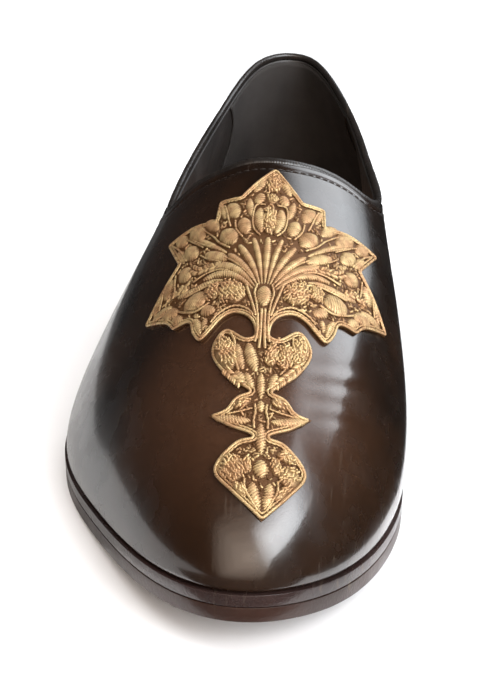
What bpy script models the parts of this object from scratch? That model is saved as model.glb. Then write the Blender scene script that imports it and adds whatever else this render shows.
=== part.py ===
"""Right shoe of a pair of embroidered leather loafers, in metres, +Z up.

The toe points to -Y, the inner side of the foot is at +X, and the floor is z = 0. The upper is worked out
on a last: sections stand around it, each one a curve from the feather edge, where upper meets sole, up to
the top line. The sole's layers follow one height line from the heel seat through the waist to the toe.
"""

from collections import namedtuple

import bmesh
import bpy
import numpy as np
from mathutils import Vector
from mathutils.bvhtree import BVHTree

MM = 0.001

# Driving sizes in millimetres. "along" runs from the back of the heel to the toe, "across" to the inner side.
LAST_LENGTH = 284.0
GAP = 0.3  # between pieces that are sewn or glued on each other
WALL = 1.8  # the quarters: leather with its lining
VAMP_STEP = 0.6  # the vamp laps over the quarters by its own thickness
PIPING_RADIUS = 1.1
HEEL_HEIGHT = 21.0
TOP_PIECE = 5.0
OUTSOLE = 4.0
MIDSOLE = 3.2
INSOLE = 2.4
HEEL_BREAST = 72.0
TREAD_FLAT = (165.0, 205.0)
TOE_SPRING = 10.0
HEEL_TAPER = 1.6
SOLE_LIP = (0.6, 1.3)  # how far the sole stands out of the feather edge, at the heel and at the forefoot
LIP_GROWS = (110.0, 170.0)
SEAM_TURN = 0.27  # where the vamp's back edge lies, counted from the heel back, 0.5 being the toe
SEAM_WIDTH = 0.0022
EMBROIDERY_RISE = 1.4
EMBROIDERY_CELL = 5.0  # it is bent over the vamp in cells of this size
EMBROIDERY_START = 170.5  # where its top tip lies, along the last
CENTRE_ACROSS, CENTRE_LEAN = 6.0, 6.5  # the vamp's centre line: where it starts, and its lean after 100 mm

COLUMNS, CLIMBS = 72, 14
OUTLINE_POINTS = 62

# One row for each section of the last, evenly turned from the heel back by the inner side to the toe and
# back by the outer side. edge: where it starts, at the sole. top: where it ends, at the top line, with its
# height over the floor. rise and bulge: how far its wall first goes up and out. reach and drop: how far it
# comes in to the top line, towards the edge and down.
Section = namedtuple(
    "Section", "name edge_along edge_across top_along top_across top_height rise bulge reach drop"
)
SECTIONS = (
    Section("heel back", 0, 0, 6, -1, 93, 22, 5, 2.5, 20),
    Section("heel corner in", 12, 25, 16, 12, 89, 22, 4.5, 4, 19),
    Section("heel side in", 48, 37, 46, 25, 77, 22, 4, 4, 18),
    Section("waist in", 110, 32, 97, 33, 71, 20, 5.5, 3, 19),
    Section("ball in", 188, 44.5, 144, 37, 71, 17, 5.5, 25, 14),
    Section("toe side in", 237, 43, 158, 26, 82, 17, 4, 42, 20),
    Section("toe corner in", 268, 30, 165, 12, 89, 17, 3, 54, 27),
    Section("toe tip", 281, 9, 167, -1, 90, 18, 2, 60, 30),
    Section("toe corner out", 270, -13, 165, -11, 86, 16, 2, 52, 28),
    Section("toe side out", 236, -37, 159, -22, 78, 14, 1.5, 36, 24),
    Section("ball out", 181, -56, 142, -32.5, 66, 11, 1.5, 18, 20),
    Section("waist out", 108, -40, 95, -31.5, 71, 18, 3.5, 2, 21),
    Section("heel side out", 46, -35, 45, -27, 79, 22, 3, 3, 19),
    Section("heel corner out", 12, -24, 16, -16.5, 91, 22, 4, 3, 19),
)


class ClosedSpline:
    """A smooth closed curve through evenly spaced rows of numbers, read at a turn from 0 to 1."""

    def __init__(self, rows):
        self.rows = np.array(rows, float)
        count = len(self.rows)
        ring = np.eye(count)
        system = 4 * ring + np.roll(ring, 1, axis=0) + np.roll(ring, -1, axis=0)
        around = np.roll(self.rows, 1, axis=0) + np.roll(self.rows, -1, axis=0) - 2 * self.rows
        self.bends = np.linalg.solve(system, 6 * around)

    def __call__(self, turn):
        count = len(self.rows)
        place = (turn % 1.0) * count
        here = int(place) % count
        ahead = (here + 1) % count
        far = place - int(place)
        near = 1.0 - far
        straight = near * self.rows[here] + far * self.rows[ahead]
        curved = (near**3 - near) * self.bends[here] + (far**3 - far) * self.bends[ahead]
        return straight + curved / 6


section_at = ClosedSpline([row[1:] for row in SECTIONS])

# The embroidery's edge on one side of the vamp's centre line, measured on the leather: down from its top
# tip towards the toe, and out from the centre line. It turns sharply at a corner and bends at the others.
Edge = namedtuple("Edge", "place down out corner")
EMBROIDERY_EDGE = (
    Edge("top leaf tip", 0, 0, True),
    Edge("top leaf side", 7, 5.5, False),
    Edge("top leaf foot", 11.5, 9, True),
    Edge("upper spike tip", 9.5, 16, True),
    Edge("under the upper spike", 17, 16.5, True),
    Edge("side lobe shoulder", 12.5, 25, False),
    Edge("side lobe tip", 9.5, 37, True),
    Edge("under the side lobe", 24, 29.5, True),
    Edge("wing shoulder", 29.5, 35.5, False),
    Edge("wing tip", 37, 41.5, True),
    Edge("first wave under the wing", 44, 32, False),
    Edge("between the waves", 49.5, 28, True),
    Edge("second wave under the wing", 51.5, 22, False),
    Edge("curl, outer side", 57, 20, False),
    Edge("curl, foot", 61, 17.4, False),
    Edge("curl, inner side", 59.4, 14.2, False),
    Edge("arch, outer side", 57, 11.4, False),
    Edge("arch", 56.1, 8, False),
    Edge("arch, inner side", 57.9, 4.4, False),
    Edge("arch, foot", 61, 2.4, False),
    Edge("stem under the arch", 65, 1.8, True),
    Edge("cup, dip beside the stem", 65.5, 4.5, False),
    Edge("cup, top of the lobe", 61.2, 9.8, False),
    Edge("cup, side", 67, 13.3, False),
    Edge("cup, lower side", 76, 9.3, False),
    Edge("cup foot", 83, 2.4, True),
    Edge("leaf pair, bud", 84.3, 6.2, False),
    Edge("leaf pair, under the bud", 87.1, 8.2, True),
    Edge("leaf pair, upper edge", 87.7, 10.6, False),
    Edge("leaf pair, tip", 86.9, 13.6, True),
    Edge("leaf pair, lower edge", 92.6, 7.6, False),
    Edge("narrowest stem", 96, 1.9, False),
    Edge("spade, shoulder", 97.4, 6.2, False),
    Edge("spade, side", 103.3, 11.4, False),
    Edge("spade, lower side", 110.6, 6.9, False),
    Edge("spade tip", 118, 0, True),
)


def eased(value, start, end):
    """0 before start, 1 after end, and a smooth step between."""
    share = min(max((value - start) / (end - start), 0.0), 1.0)
    return share * share * (3 - 2 * share)


def tread_height(along):
    """Height of the outsole's underside: the heel seat, the waist, the flat tread and the toe spring."""
    heel = HEEL_HEIGHT + GAP
    waist = heel * (1 - eased(along, HEEL_BREAST, TREAD_FLAT[0]))
    ahead = max(along - TREAD_FLAT[1], 0.0) / (LAST_LENGTH - TREAD_FLAT[1])
    return waist + TOE_SPRING * ahead**1.7


def edge_height(along):
    """Height of the feather edge, on top of the sole's layers."""
    return tread_height(along) + OUTSOLE + MIDSOLE + 2 * GAP


def edge_ring(turn, outset=0.0):
    """The feather edge at a turn as along and across, moved outwards by outset."""
    step = 1e-4
    here = section_at(turn)[:2]
    way = section_at(turn + step)[:2] - section_at(turn - step)[:2]
    outwards = np.array([-way[1], way[0]]) / np.linalg.norm(way)
    return here + outwards * outset, outwards


def upper_curve(turn, climb):
    """A point of the upper's outer face, in millimetres: along, across and height."""
    edge_along, edge_across, top_along, top_across, top_height, rise, bulge, reach, drop = section_at(turn)
    edge, outwards = edge_ring(turn)
    foot = np.array([*edge, edge_height(edge_along) + GAP])
    top = np.array([top_along, top_across, top_height])
    wall = foot + np.array([*(outwards * bulge), rise])
    slope = edge - top[:2]
    slope = slope / np.linalg.norm(slope)
    crown = top + np.array([*(slope * reach), -drop])
    down = 1.0 - climb
    return down**3 * foot + 3 * down**2 * climb * wall + 3 * down * climb**2 * crown + climb**3 * top


def upper_frame(turn, climb):
    """The outer face at a point: the point, its outward normal and the way around the shoe."""
    step = 1e-3
    low, high = max(climb - step, 0.0), min(climb + step, 1.0)
    around = upper_curve(turn + step, climb) - upper_curve(turn - step, climb)
    upwards = upper_curve(turn, high) - upper_curve(turn, low)
    normal = np.cross(upwards, around)
    return upper_curve(turn, climb), normal / np.linalg.norm(normal), around / np.linalg.norm(around)


def upper_point(turn, climb, lift=0.0):
    """A point of the outer face in the part's frame, lifted off the face by lift millimetres."""
    point, normal, _ = upper_frame(turn, climb)
    return in_frame(*(point + normal * lift))


def in_frame(along, across, height):
    """Millimetres along and across the last and over the floor, as a point of the part's frame."""
    return Vector((across, LAST_LENGTH / 2 - along, height)) * MM


def material(name, colour, roughness, metallic=0.0):
    """A plain finish with one colour."""
    made = bpy.data.materials.new(name)
    made.use_nodes = True
    shader = made.node_tree.nodes["Principled BSDF"]
    shader.inputs["Base Color"].default_value = (*colour, 1.0)
    shader.inputs["Roughness"].default_value = roughness
    shader.inputs["Metallic"].default_value = metallic
    return made


def add_object(name, mesh, finish, collection, root):
    """Puts a mesh in the scene as one of the shoe's pieces."""
    mesh.materials.append(finish)
    made = bpy.data.objects.new(name, mesh)
    collection.objects.link(made)
    made.parent = root
    return made


def sleeve_mesh(name, rings):
    """An open surface through rings of points, one above the other."""
    bm = bmesh.new()
    lines = [[bm.verts.new(point) for point in ring] for ring in rings]
    count = len(lines[0])
    for low, high in zip(lines, lines[1:]):
        for here in range(count):
            ahead = (here + 1) % count
            bm.faces.new((low[here], high[here], high[ahead], low[ahead]))
    mesh = bpy.data.meshes.new(name)
    bm.to_mesh(mesh)
    bm.free()
    return mesh


def evaluated_mesh(made):
    """The object's mesh with its modifiers applied."""
    depsgraph = bpy.context.evaluated_depsgraph_get()
    return bpy.data.meshes.new_from_object(made.evaluated_get(depsgraph))


def in_vamp(turn):
    """Whether a turn lies ahead of the side seams."""
    return SEAM_TURN < turn < 1 - SEAM_TURN


def make_upper(finish, collection, root):
    """The vamp and quarters as one hollow wall, with a step where the vamp laps over the quarters."""
    turns = [column / COLUMNS for column in range(COLUMNS)]
    for seam in (SEAM_TURN, 1 - SEAM_TURN):
        turns = [turn for turn in turns if abs(turn - seam) > 2 * SEAM_WIDTH]
        turns += [seam - SEAM_WIDTH / 2, seam + SEAM_WIDTH / 2]
    turns.sort()
    rings = [[upper_point(turn, row / CLIMBS) for turn in turns] for row in range(CLIMBS + 1)]
    upper = add_object("upper", sleeve_mesh("upper", rings), finish, collection, root)
    shell = upper.modifiers.new("wall", "SOLIDIFY")
    shell.thickness = WALL * MM
    shell.offset = -1
    upper.data = evaluated_mesh(upper)
    upper.modifiers.clear()
    outer_face = upper.data.vertices[: len(turns) * (CLIMBS + 1)]
    for index, vertex in enumerate(outer_face):
        turn, climb = turns[index % len(turns)], (index // len(turns)) / CLIMBS
        if in_vamp(turn):
            vertex.co = upper_point(turn, climb, VAMP_STEP)
    return upper


class Drape:
    """Lays flat work on the vamp, by lengths measured on the leather down and out from its centre line."""

    step = 1.0

    def __init__(self):
        turns, climbs = np.linspace(SEAM_TURN, 1 - SEAM_TURN, 121), np.linspace(0, 1, 41)
        places = [upper_point(turn, climb, VAMP_STEP) / MM for climb in climbs for turn in turns]
        width = len(turns)
        corners = [row * width + column for row in range(len(climbs) - 1) for column in range(width - 1)]
        quads = [(here, here + width, here + width + 1, here + 1) for here in corners]
        self.vamp = BVHTree.FromPolygons(places, quads)
        alongs = np.arange(EMBROIDERY_START, LAST_LENGTH, self.step)
        dropped = [self.drop(along, self.centre_across(along))[0] for along in alongs]
        self.centre = [point for point in dropped if point is not None]
        self.lengths = self.measured(self.centre)

    @staticmethod
    def centre_across(along):
        """The vamp's centre line seen from above: it leans inwards to the toe."""
        return CENTRE_ACROSS + CENTRE_LEAN * ((along - EMBROIDERY_START) / 100.0) ** 2

    @staticmethod
    def measured(points):
        """The length from the first point to each, along their line."""
        pieces = [0.0] + [(end - start).length for start, end in zip(points, points[1:])]
        return np.cumsum(pieces)

    def drop(self, along, across):
        """The vamp straight below a place: the point, in millimetres of the part's frame, and its normal."""
        above = in_frame(along, across, 200) / MM
        point, normal, _, _ = self.vamp.ray_cast(above, Vector((0, 0, -1)))
        return point, normal

    def __call__(self, down, out, lift):
        """The place on the vamp, in the part's frame, lifted off the leather."""
        centre = [np.interp(down, self.lengths, [point[axis] for point in self.centre]) for axis in range(3)]
        along = LAST_LENGTH / 2 - centre[1]
        lean = (self.centre_across(along + 1) - self.centre_across(along - 1)) / 2
        side = np.array([-lean, 1.0]) / np.hypot(lean, 1.0) * np.sign(out)
        walked = [self.drop(*(np.array([along, centre[0]]) + side * away))
                  for away in np.arange(0, abs(out) + self.step, self.step)]
        walked = [place for place in walked if place[0] is not None]
        lengths = self.measured([place[0] for place in walked])
        away = np.interp(abs(out), lengths, np.arange(len(lengths)) * self.step)
        point, normal = self.drop(*(np.array([along, centre[0]]) + side * away))
        return (point + normal * lift) * MM


def smoothed(edge, pieces=3):
    """Points along an edge that turns sharply at its corners and bends smoothly at its other places."""
    points = []
    places = [np.array([row.down, row.out]) for row in edge]
    for index in range(len(edge) - 1):
        start, end = places[index], places[index + 1]
        before = start if edge[index].corner else places[index - 1]
        after = end if edge[index + 1].corner else places[index + 2]
        leave, arrive = (end - before) / 2, (after - start) / 2
        for piece in range(pieces):
            share = piece / pieces
            rest = 1 - share
            hermite = (
                (1 + 2 * share) * rest**2 * start + share * rest**2 * leave
                + share**2 * (3 - 2 * share) * end - share**2 * rest * arrive
            )
            points.append(hermite)
    return points + [places[-1]]


def make_embroidery(finish, collection, root):
    """The raised gold work on the vamp: its flat outline, cut into small cells and laid on the leather."""
    half = smoothed(EMBROIDERY_EDGE)
    whole = half + [np.array([down, -out]) for down, out in half[-2:0:-1]]
    drape = Drape()
    bm = bmesh.new()
    bm.faces.new([bm.verts.new((out, -down, 0)) for down, out in whole])
    length, width = EMBROIDERY_EDGE[-1].down, max(row.out for row in EMBROIDERY_EDGE)
    cuts = [((0, -place, 0), (0, 1, 0)) for place in np.arange(EMBROIDERY_CELL, length, EMBROIDERY_CELL)]
    across = np.arange(0, width, EMBROIDERY_CELL)
    cuts += [((place, 0, 0), (1, 0, 0)) for place in (*across, *-across[1:])]
    for place, way in cuts:
        geometry = bm.verts[:] + bm.edges[:] + bm.faces[:]
        bmesh.ops.bisect_plane(bm, geom=geometry, plane_co=place, plane_no=way)
    bmesh.ops.recalc_face_normals(bm, faces=bm.faces)
    raised = bmesh.ops.extrude_face_region(bm, geom=bm.faces[:], use_keep_orig=True)
    tops = {item for item in raised["geom"] if isinstance(item, bmesh.types.BMVert)}
    for vertex in bm.verts:
        lift = 1.5 * GAP + (EMBROIDERY_RISE if vertex in tops else 0.0)
        vertex.co = drape(-vertex.co.y, vertex.co.x, lift)
    bmesh.ops.recalc_face_normals(bm, faces=bm.faces)
    mesh = bpy.data.meshes.new("embroidery")
    bm.to_mesh(mesh)
    bm.free()
    return add_object("embroidery", mesh, finish, collection, root)


def outline(outset):
    """Points of the feather edge moved outwards by outset, or by a rule on the place along the last."""
    points = []
    for index in range(OUTLINE_POINTS):
        turn = index / OUTLINE_POINTS
        width = outset(section_at(turn)[0]) if callable(outset) else outset
        points.append(edge_ring(turn, width)[0])
    return points


def sole_lip(along):
    """How far the sole stands out of the feather edge."""
    back, front = SOLE_LIP
    return back + (front - back) * eased(along, *LIP_GROWS)


def plate(name, points, bottom, thickness, stations, finish, collection, root, bevel=0.0, segments=1):
    """A sole layer: an outline cut across at the stations, thickened upwards and laid on a height line."""
    bm = bmesh.new()
    bm.faces.new([bm.verts.new(in_frame(along, across, 0)) for along, across in points])
    for along in stations:
        geometry = bm.verts[:] + bm.edges[:] + bm.faces[:]
        bmesh.ops.bisect_plane(bm, geom=geometry, plane_co=in_frame(along, 0, 0), plane_no=(0, 1, 0))
    bmesh.ops.recalc_face_normals(bm, faces=bm.faces)
    raised = bmesh.ops.extrude_face_region(bm, geom=bm.faces[:], use_keep_orig=True)
    tops = [item for item in raised["geom"] if isinstance(item, bmesh.types.BMVert)]
    bmesh.ops.translate(bm, verts=tops, vec=(0, 0, thickness * MM))
    for vertex in bm.verts:
        vertex.co.z += bottom(LAST_LENGTH / 2 - vertex.co.y / MM) * MM
    bmesh.ops.recalc_face_normals(bm, faces=bm.faces)
    mesh = bpy.data.meshes.new(name)
    bm.to_mesh(mesh)
    bm.free()
    made = add_object(name, mesh, finish, collection, root)
    if bevel:
        rounding = made.modifiers.new("rounded edge", "BEVEL")
        rounding.width = bevel * MM
        rounding.segments = segments
        rounding.limit_method = "ANGLE"
    return made


def heel_ring(inset, height):
    """The sole's outline behind the heel breast, drawn in by inset, at a height over the floor."""
    breast = HEEL_BREAST - inset
    edge, drawn = outline(sole_lip), outline(lambda along: sole_lip(along) - inset)
    behind = [edge[index][0] < HEEL_BREAST - 3 * HEEL_TAPER for index in range(OUTLINE_POINTS)]
    half = OUTLINE_POINTS // 2
    inner = [drawn[index] for index in range(half) if behind[index]]
    outer = [drawn[index] for index in range(half, OUTLINE_POINTS) if behind[index]]
    corners = [(breast, inner[-1][1]), (breast, outer[0][1])]
    return [in_frame(along, across, height) for along, across in inner + corners + outer]


def heel_block(name, heights, insets, finish, collection, root, bevel):
    """A slice of the heel: its outline at the bottom and at the top, each drawn in by its inset."""
    bm = bmesh.new()
    rings = zip(insets, heights)
    low, high = ([bm.verts.new(point) for point in heel_ring(inset, height)] for inset, height in rings)
    bm.faces.new(low)
    bm.faces.new(reversed(high))
    for here in range(len(low)):
        ahead = (here + 1) % len(low)
        bm.faces.new((low[here], high[here], high[ahead], low[ahead]))
    mesh = bpy.data.meshes.new(name)
    bm.to_mesh(mesh)
    bm.free()
    made = add_object(name, mesh, finish, collection, root)
    rounding = made.modifiers.new("rounded edge", "BEVEL")
    rounding.width = bevel * MM
    rounding.segments = 1
    rounding.limit_method = "ANGLE"
    return made


def make_piping(finish, collection, root):
    """The rolled leather edge that lies on the upper's rim all around the opening."""
    curve = bpy.data.curves.new("piping", "CURVE")
    curve.dimensions = "3D"
    curve.bevel_depth = PIPING_RADIUS * MM
    curve.bevel_resolution = 2
    line = curve.splines.new("POLY")
    line.points.add(COLUMNS - 1)
    line.use_cyclic_u = True
    for column, point in enumerate(line.points):
        rim, normal, around = upper_frame(column / COLUMNS, 1.0)
        upwards = np.cross(around, normal)
        centre = rim + normal * (VAMP_STEP - WALL) / 2 + upwards * (PIPING_RADIUS + GAP)
        point.co = (*in_frame(*centre), 1.0)
    made = bpy.data.objects.new("topline_piping", curve)
    curve.materials.append(finish)
    collection.objects.link(made)
    made.parent = root
    return made


def make_sole(finishes, collection, root):
    """Insole, midsole, outsole and the heel's two layers."""
    sole_outline = outline(sole_lip)
    last_station = LAST_LENGTH - 6
    back = [HEEL_BREAST - 6, HEEL_BREAST]
    arch = list(np.linspace(HEEL_BREAST, TREAD_FLAT[0], 9)[1:])
    front = list(np.linspace(TREAD_FLAT[1], last_station, 8))
    stations = back + arch + front
    plate(
        "outsole", sole_outline, tread_height, OUTSOLE, stations,
        finishes["sole"], collection, root, bevel=0.9, segments=2,
    )
    plate(
        "midsole", sole_outline, lambda along: tread_height(along) + OUTSOLE + GAP, MIDSOLE, stations,
        finishes["welt"], collection, root, bevel=0.9, segments=2,
    )
    plate(
        "insole", outline(-WALL - 2 * GAP), lambda along: edge_height(along) + GAP, INSOLE, stations,
        finishes["insole"], collection, root,
    )
    taper = HEEL_TAPER * TOP_PIECE / HEEL_HEIGHT
    heel_block(
        "heel_stack", (TOP_PIECE + GAP, HEEL_HEIGHT), (HEEL_TAPER - taper, 0.0),
        finishes["welt"], collection, root, bevel=0.4,
    )
    heel_block(
        "heel_top_piece", (0.0, TOP_PIECE), (HEEL_TAPER, HEEL_TAPER - taper),
        finishes["rubber"], collection, root, bevel=0.5,
    )


def centre_on_floor(root, pieces):
    """Moves the shoe so that the origin is the middle of its box, on the floor."""
    places = np.array([vertex.co for piece in pieces for vertex in evaluated_mesh(piece).vertices])
    low, high = places.min(axis=0), places.max(axis=0)
    root.location = (-(low[0] + high[0]) / 2, -(low[1] + high[1]) / 2, -low[2])


def main():
    for old in list(bpy.data.objects):
        bpy.data.objects.remove(old)
    collection = bpy.data.collections.new("embroidered_loafer")
    bpy.context.scene.collection.children.link(collection)
    root = bpy.data.objects.new("shoe", None)
    collection.objects.link(root)
    finishes = {
        "upper": material("upper leather", (0.030, 0.018, 0.011), 0.25),
        "piping": material("piping leather", (0.012, 0.009, 0.008), 0.35),
        "welt": material("welt leather", (0.020, 0.011, 0.009), 0.35),
        "sole": material("sole leather", (0.060, 0.024, 0.014), 0.45),
        "gold": material("gold thread", (0.60, 0.36, 0.12), 0.4, 0.6),
        "insole": material("insole leather", (0.42, 0.20, 0.10), 0.55),
        "rubber": material("top piece rubber", (0.012, 0.012, 0.012), 0.7),
    }
    make_upper(finishes["upper"], collection, root)
    make_piping(finishes["piping"], collection, root)
    make_embroidery(finishes["gold"], collection, root)
    make_sole(finishes, collection, root)
    centre_on_floor(root, [item for item in collection.objects if item.type != "EMPTY"])


main()
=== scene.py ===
"""Finish of the embroidered loafer: leathers, seams, gold work, lining, sole and heel over its solids.

It is a right shoe. The toe points to -Y, the inner side of the foot is at +X, and the floor is z = 0. The
last's own lengths are in millimetres, and a point of the frame is in metres. The upper is worked out on the
same last as the solids, in turns around the shoe (0 at the heel back, 0.5 at the toe) and climbs from the
feather edge (0), where upper meets sole, to the top line (1).
"""

from collections import namedtuple

import bpy
import numpy as np
from bpy.props import FloatProperty, FloatVectorProperty, PointerProperty
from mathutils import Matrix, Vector
from mathutils.bvhtree import BVHTree


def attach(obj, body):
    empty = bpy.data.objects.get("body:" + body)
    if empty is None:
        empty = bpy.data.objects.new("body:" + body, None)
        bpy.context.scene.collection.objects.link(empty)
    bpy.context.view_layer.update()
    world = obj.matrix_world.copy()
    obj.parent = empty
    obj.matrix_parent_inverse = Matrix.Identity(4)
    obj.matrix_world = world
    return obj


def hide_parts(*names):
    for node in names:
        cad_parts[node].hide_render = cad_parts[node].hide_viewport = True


bl_info = {
    "name": "Embroidered loafer",
    "version": (1, 0, 0),
    "blender": (4, 5, 0),
    "location": "3D View > Sidebar > Loafer",
    "description": "Dresses the loafer's frame in leather, gold embroidery and a finished sole",
    "category": "Add Mesh",
}

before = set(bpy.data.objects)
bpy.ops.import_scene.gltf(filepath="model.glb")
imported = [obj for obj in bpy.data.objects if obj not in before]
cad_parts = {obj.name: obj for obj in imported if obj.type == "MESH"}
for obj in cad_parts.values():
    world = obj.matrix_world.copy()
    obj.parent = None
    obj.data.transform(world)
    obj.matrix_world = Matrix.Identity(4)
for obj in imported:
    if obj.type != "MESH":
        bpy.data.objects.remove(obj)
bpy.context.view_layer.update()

MM = 0.001

# The last, in millimetres, as its solids have it. "along" runs from the heel back to the toe, "across" to
# the inner side of the foot.
HEEL_BACK = (4.565, 140.377)  # across and back: where the last's axes start in the frame
LAST_LENGTH = 284.0
GAP = 0.3
WALL = 1.8
VAMP_STEP = 0.6
PIPING_RADIUS = 1.1
HEEL_HEIGHT = 21.0
TOP_PIECE = 5.0
OUTSOLE = 4.0
MIDSOLE = 3.2
INSOLE = 2.4
HEEL_BREAST = 72.0
TREAD_FLAT = (165.0, 205.0)
TOE_SPRING = 10.0
HEEL_TAPER = 1.6
SOLE_LIP = (0.6, 1.3)
LIP_GROWS = (110.0, 170.0)
SEAM_TURN = 0.27
EMBROIDERY_START = 170.5
EMBROIDERY_LENGTH, EMBROIDERY_HALF_WIDTH = 118, 42
CENTRE_ACROSS, CENTRE_LEAN = 6.0, 6.5

# Trim of the upper, in millimetres: the groove below the top line, the stitch rows beside the vamp's edge,
# how deep the stitches lie in them, and how far the edges are rounded off.
GROOVE_DOWN, GROOVE_DEPTH, GROOVE_WIDTH = 3.1, 0.30, 0.55
ROWS_FROM_SEAM, ROW_DEPTHS, ROW_WIDTH = (2.0, 4.3), (0.13, 0.10), 0.4
STITCH_SUNK_IN_ROW, STITCH_SUNK_IN_GROOVE = 0.10, 0.24
RIM_ROUNDING, FEATHER_ROUNDING, SEAM_ROUNDING = 0.9, 0.8, 0.75
LINING_THICKNESS = 0.85
GRIP_THICKNESS = 0.5

# Sections of the upper around the shoe, in millimetres: each is a curve from the feather edge to the top
# line, whose lower handle rises and bulges outwards and whose upper handle reaches outwards and drops.
Section = namedtuple(
    "Section", "name edge_along edge_across top_along top_across top_height rise bulge reach drop"
)
SECTIONS = (
    Section("heel back", 0, 0, 6, -1, 93, 22, 5, 2.5, 20),
    Section("heel corner in", 12, 25, 16, 12, 89, 22, 4.5, 4, 19),
    Section("heel side in", 48, 37, 46, 25, 77, 22, 4, 4, 18),
    Section("waist in", 110, 32, 97, 33, 71, 20, 5.5, 3, 19),
    Section("ball in", 188, 44.5, 144, 37, 71, 17, 5.5, 25, 14),
    Section("toe side in", 237, 43, 158, 26, 82, 17, 4, 42, 20),
    Section("toe corner in", 268, 30, 165, 12, 89, 17, 3, 54, 27),
    Section("toe tip", 281, 9, 167, -1, 90, 18, 2, 60, 30),
    Section("toe corner out", 270, -13, 165, -11, 86, 16, 2, 52, 28),
    Section("toe side out", 236, -37, 159, -22, 78, 14, 1.5, 36, 24),
    Section("ball out", 181, -56, 142, -32.5, 66, 11, 1.5, 18, 20),
    Section("waist out", 108, -40, 95, -31.5, 71, 18, 3.5, 2, 21),
    Section("heel side out", 46, -35, 45, -27, 79, 22, 3, 3, 19),
    Section("heel corner out", 12, -24, 16, -16.5, 91, 22, 4, 3, 19),
)

# The embroidery's edge on one side of the vamp's centre line, measured on the leather: down from its top
# tip towards the toe, and out from the centre line. It turns sharply at a corner and bends at the others.
Edge = namedtuple("Edge", "place down out corner")
EMBROIDERY_EDGE = (
    Edge("top leaf tip", 0, 0, True),
    Edge("top leaf side", 7, 5.5, False),
    Edge("top leaf foot", 11.5, 9, True),
    Edge("upper spike tip", 9.5, 16, True),
    Edge("under the upper spike", 17, 16.5, True),
    Edge("side lobe shoulder", 12.5, 25, False),
    Edge("side lobe tip", 9.5, 37, True),
    Edge("under the side lobe", 24, 29.5, True),
    Edge("wing shoulder", 29.5, 35.5, False),
    Edge("wing tip", 37, 41.5, True),
    Edge("first wave under the wing", 44, 32, False),
    Edge("between the waves", 49.5, 28, True),
    Edge("second wave under the wing", 51.5, 22, False),
    Edge("curl, outer side", 57, 20, False),
    Edge("curl, foot", 61, 17.4, False),
    Edge("curl, inner side", 59.4, 14.2, False),
    Edge("arch, outer side", 57, 11.4, False),
    Edge("arch", 56.1, 8, False),
    Edge("arch, inner side", 57.9, 4.4, False),
    Edge("arch, foot", 61, 2.4, False),
    Edge("stem under the arch", 65, 1.8, True),
    Edge("cup, dip beside the stem", 65.5, 4.5, False),
    Edge("cup, top of the lobe", 61.2, 9.8, False),
    Edge("cup, side", 67, 13.3, False),
    Edge("cup, lower side", 76, 9.3, False),
    Edge("cup foot", 83, 2.4, True),
    Edge("leaf pair, bud", 84.3, 6.2, False),
    Edge("leaf pair, under the bud", 87.1, 8.2, True),
    Edge("leaf pair, upper edge", 87.7, 10.6, False),
    Edge("leaf pair, tip", 86.9, 13.6, True),
    Edge("leaf pair, lower edge", 92.6, 7.6, False),
    Edge("narrowest stem", 96, 1.9, False),
    Edge("spade, shoulder", 97.4, 6.2, False),
    Edge("spade, side", 103.3, 11.4, False),
    Edge("spade, lower side", 110.6, 6.9, False),
    Edge("spade tip", 118, 0, True),
)

# Soft marks of wear pressed into the upper: each runs through three places (turn, climb), and is so deep
# and so wide, in millimetres. A negative depth is a ridge.
Crease = namedtuple("Crease", "name start middle end depth width")
CREASES = (
    Crease("inner flex 1", (0.448, 0.57), (0.410, 0.545), (0.366, 0.500), 0.13, 1.9),
    Crease("inner flex 2", (0.450, 0.535), (0.415, 0.510), (0.372, 0.455), 0.15, 1.8),
    Crease("inner flex 3", (0.462, 0.505), (0.430, 0.485), (0.385, 0.430), 0.14, 2.1),
    Crease("inner roll", (0.452, 0.553), (0.412, 0.528), (0.370, 0.478), -0.09, 1.9),
    Crease("inner flex 4", (0.445, 0.455), (0.420, 0.440), (0.390, 0.395), 0.14, 1.8),
    Crease("outer flex 1", (0.540, 0.585), (0.575, 0.570), (0.628, 0.525), 0.16, 1.7),
    Crease("outer flex 2", (0.545, 0.545), (0.582, 0.525), (0.634, 0.475), 0.18, 1.6),
    Crease("outer flex 3", (0.550, 0.495), (0.590, 0.475), (0.630, 0.425), 0.12, 2.0),
    Crease("inner quarter fold", (0.255, 0.62), (0.235, 0.52), (0.222, 0.40), 0.18, 2.2),
    Crease("outer quarter fold", (0.745, 0.60), (0.765, 0.50), (0.778, 0.40), 0.18, 2.2),
    Crease("heel crush in", (0.090, 0.78), (0.065, 0.74), (0.035, 0.75), 0.10, 2.4),
    Crease("heel crush out", (0.910, 0.74), (0.935, 0.70), (0.962, 0.72), 0.10, 2.4),
)

# ---------------------------------------------------------------------------------------------------------
# The last's surfaces, in millimetres along, across and over the floor, for whole arrays of places at once.


class ClosedSpline:
    """A smooth closed curve through evenly spaced rows of numbers, read at turns from 0 to 1."""

    def __init__(self, rows):
        self.rows = np.array(rows, float)
        ring = np.eye(len(self.rows))
        system = 4 * ring + np.roll(ring, 1, axis=0) + np.roll(ring, -1, axis=0)
        around = np.roll(self.rows, 1, axis=0) + np.roll(self.rows, -1, axis=0) - 2 * self.rows
        self.bends = np.linalg.solve(system, 6 * around)

    def __call__(self, turn):
        count = len(self.rows)
        place = np.mod(turn, 1.0) * count
        here = np.floor(place).astype(int) % count
        ahead = (here + 1) % count
        far = (place - np.floor(place))[..., None]
        near = 1.0 - far
        straight = near * self.rows[here] + far * self.rows[ahead]
        curved = (near**3 - near) * self.bends[here] + (far**3 - far) * self.bends[ahead]
        return straight + curved / 6


section_at = ClosedSpline([row[1:] for row in SECTIONS])


def unit(vectors):
    """The vectors made one long."""
    return vectors / np.linalg.norm(vectors, axis=-1, keepdims=True)


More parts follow.
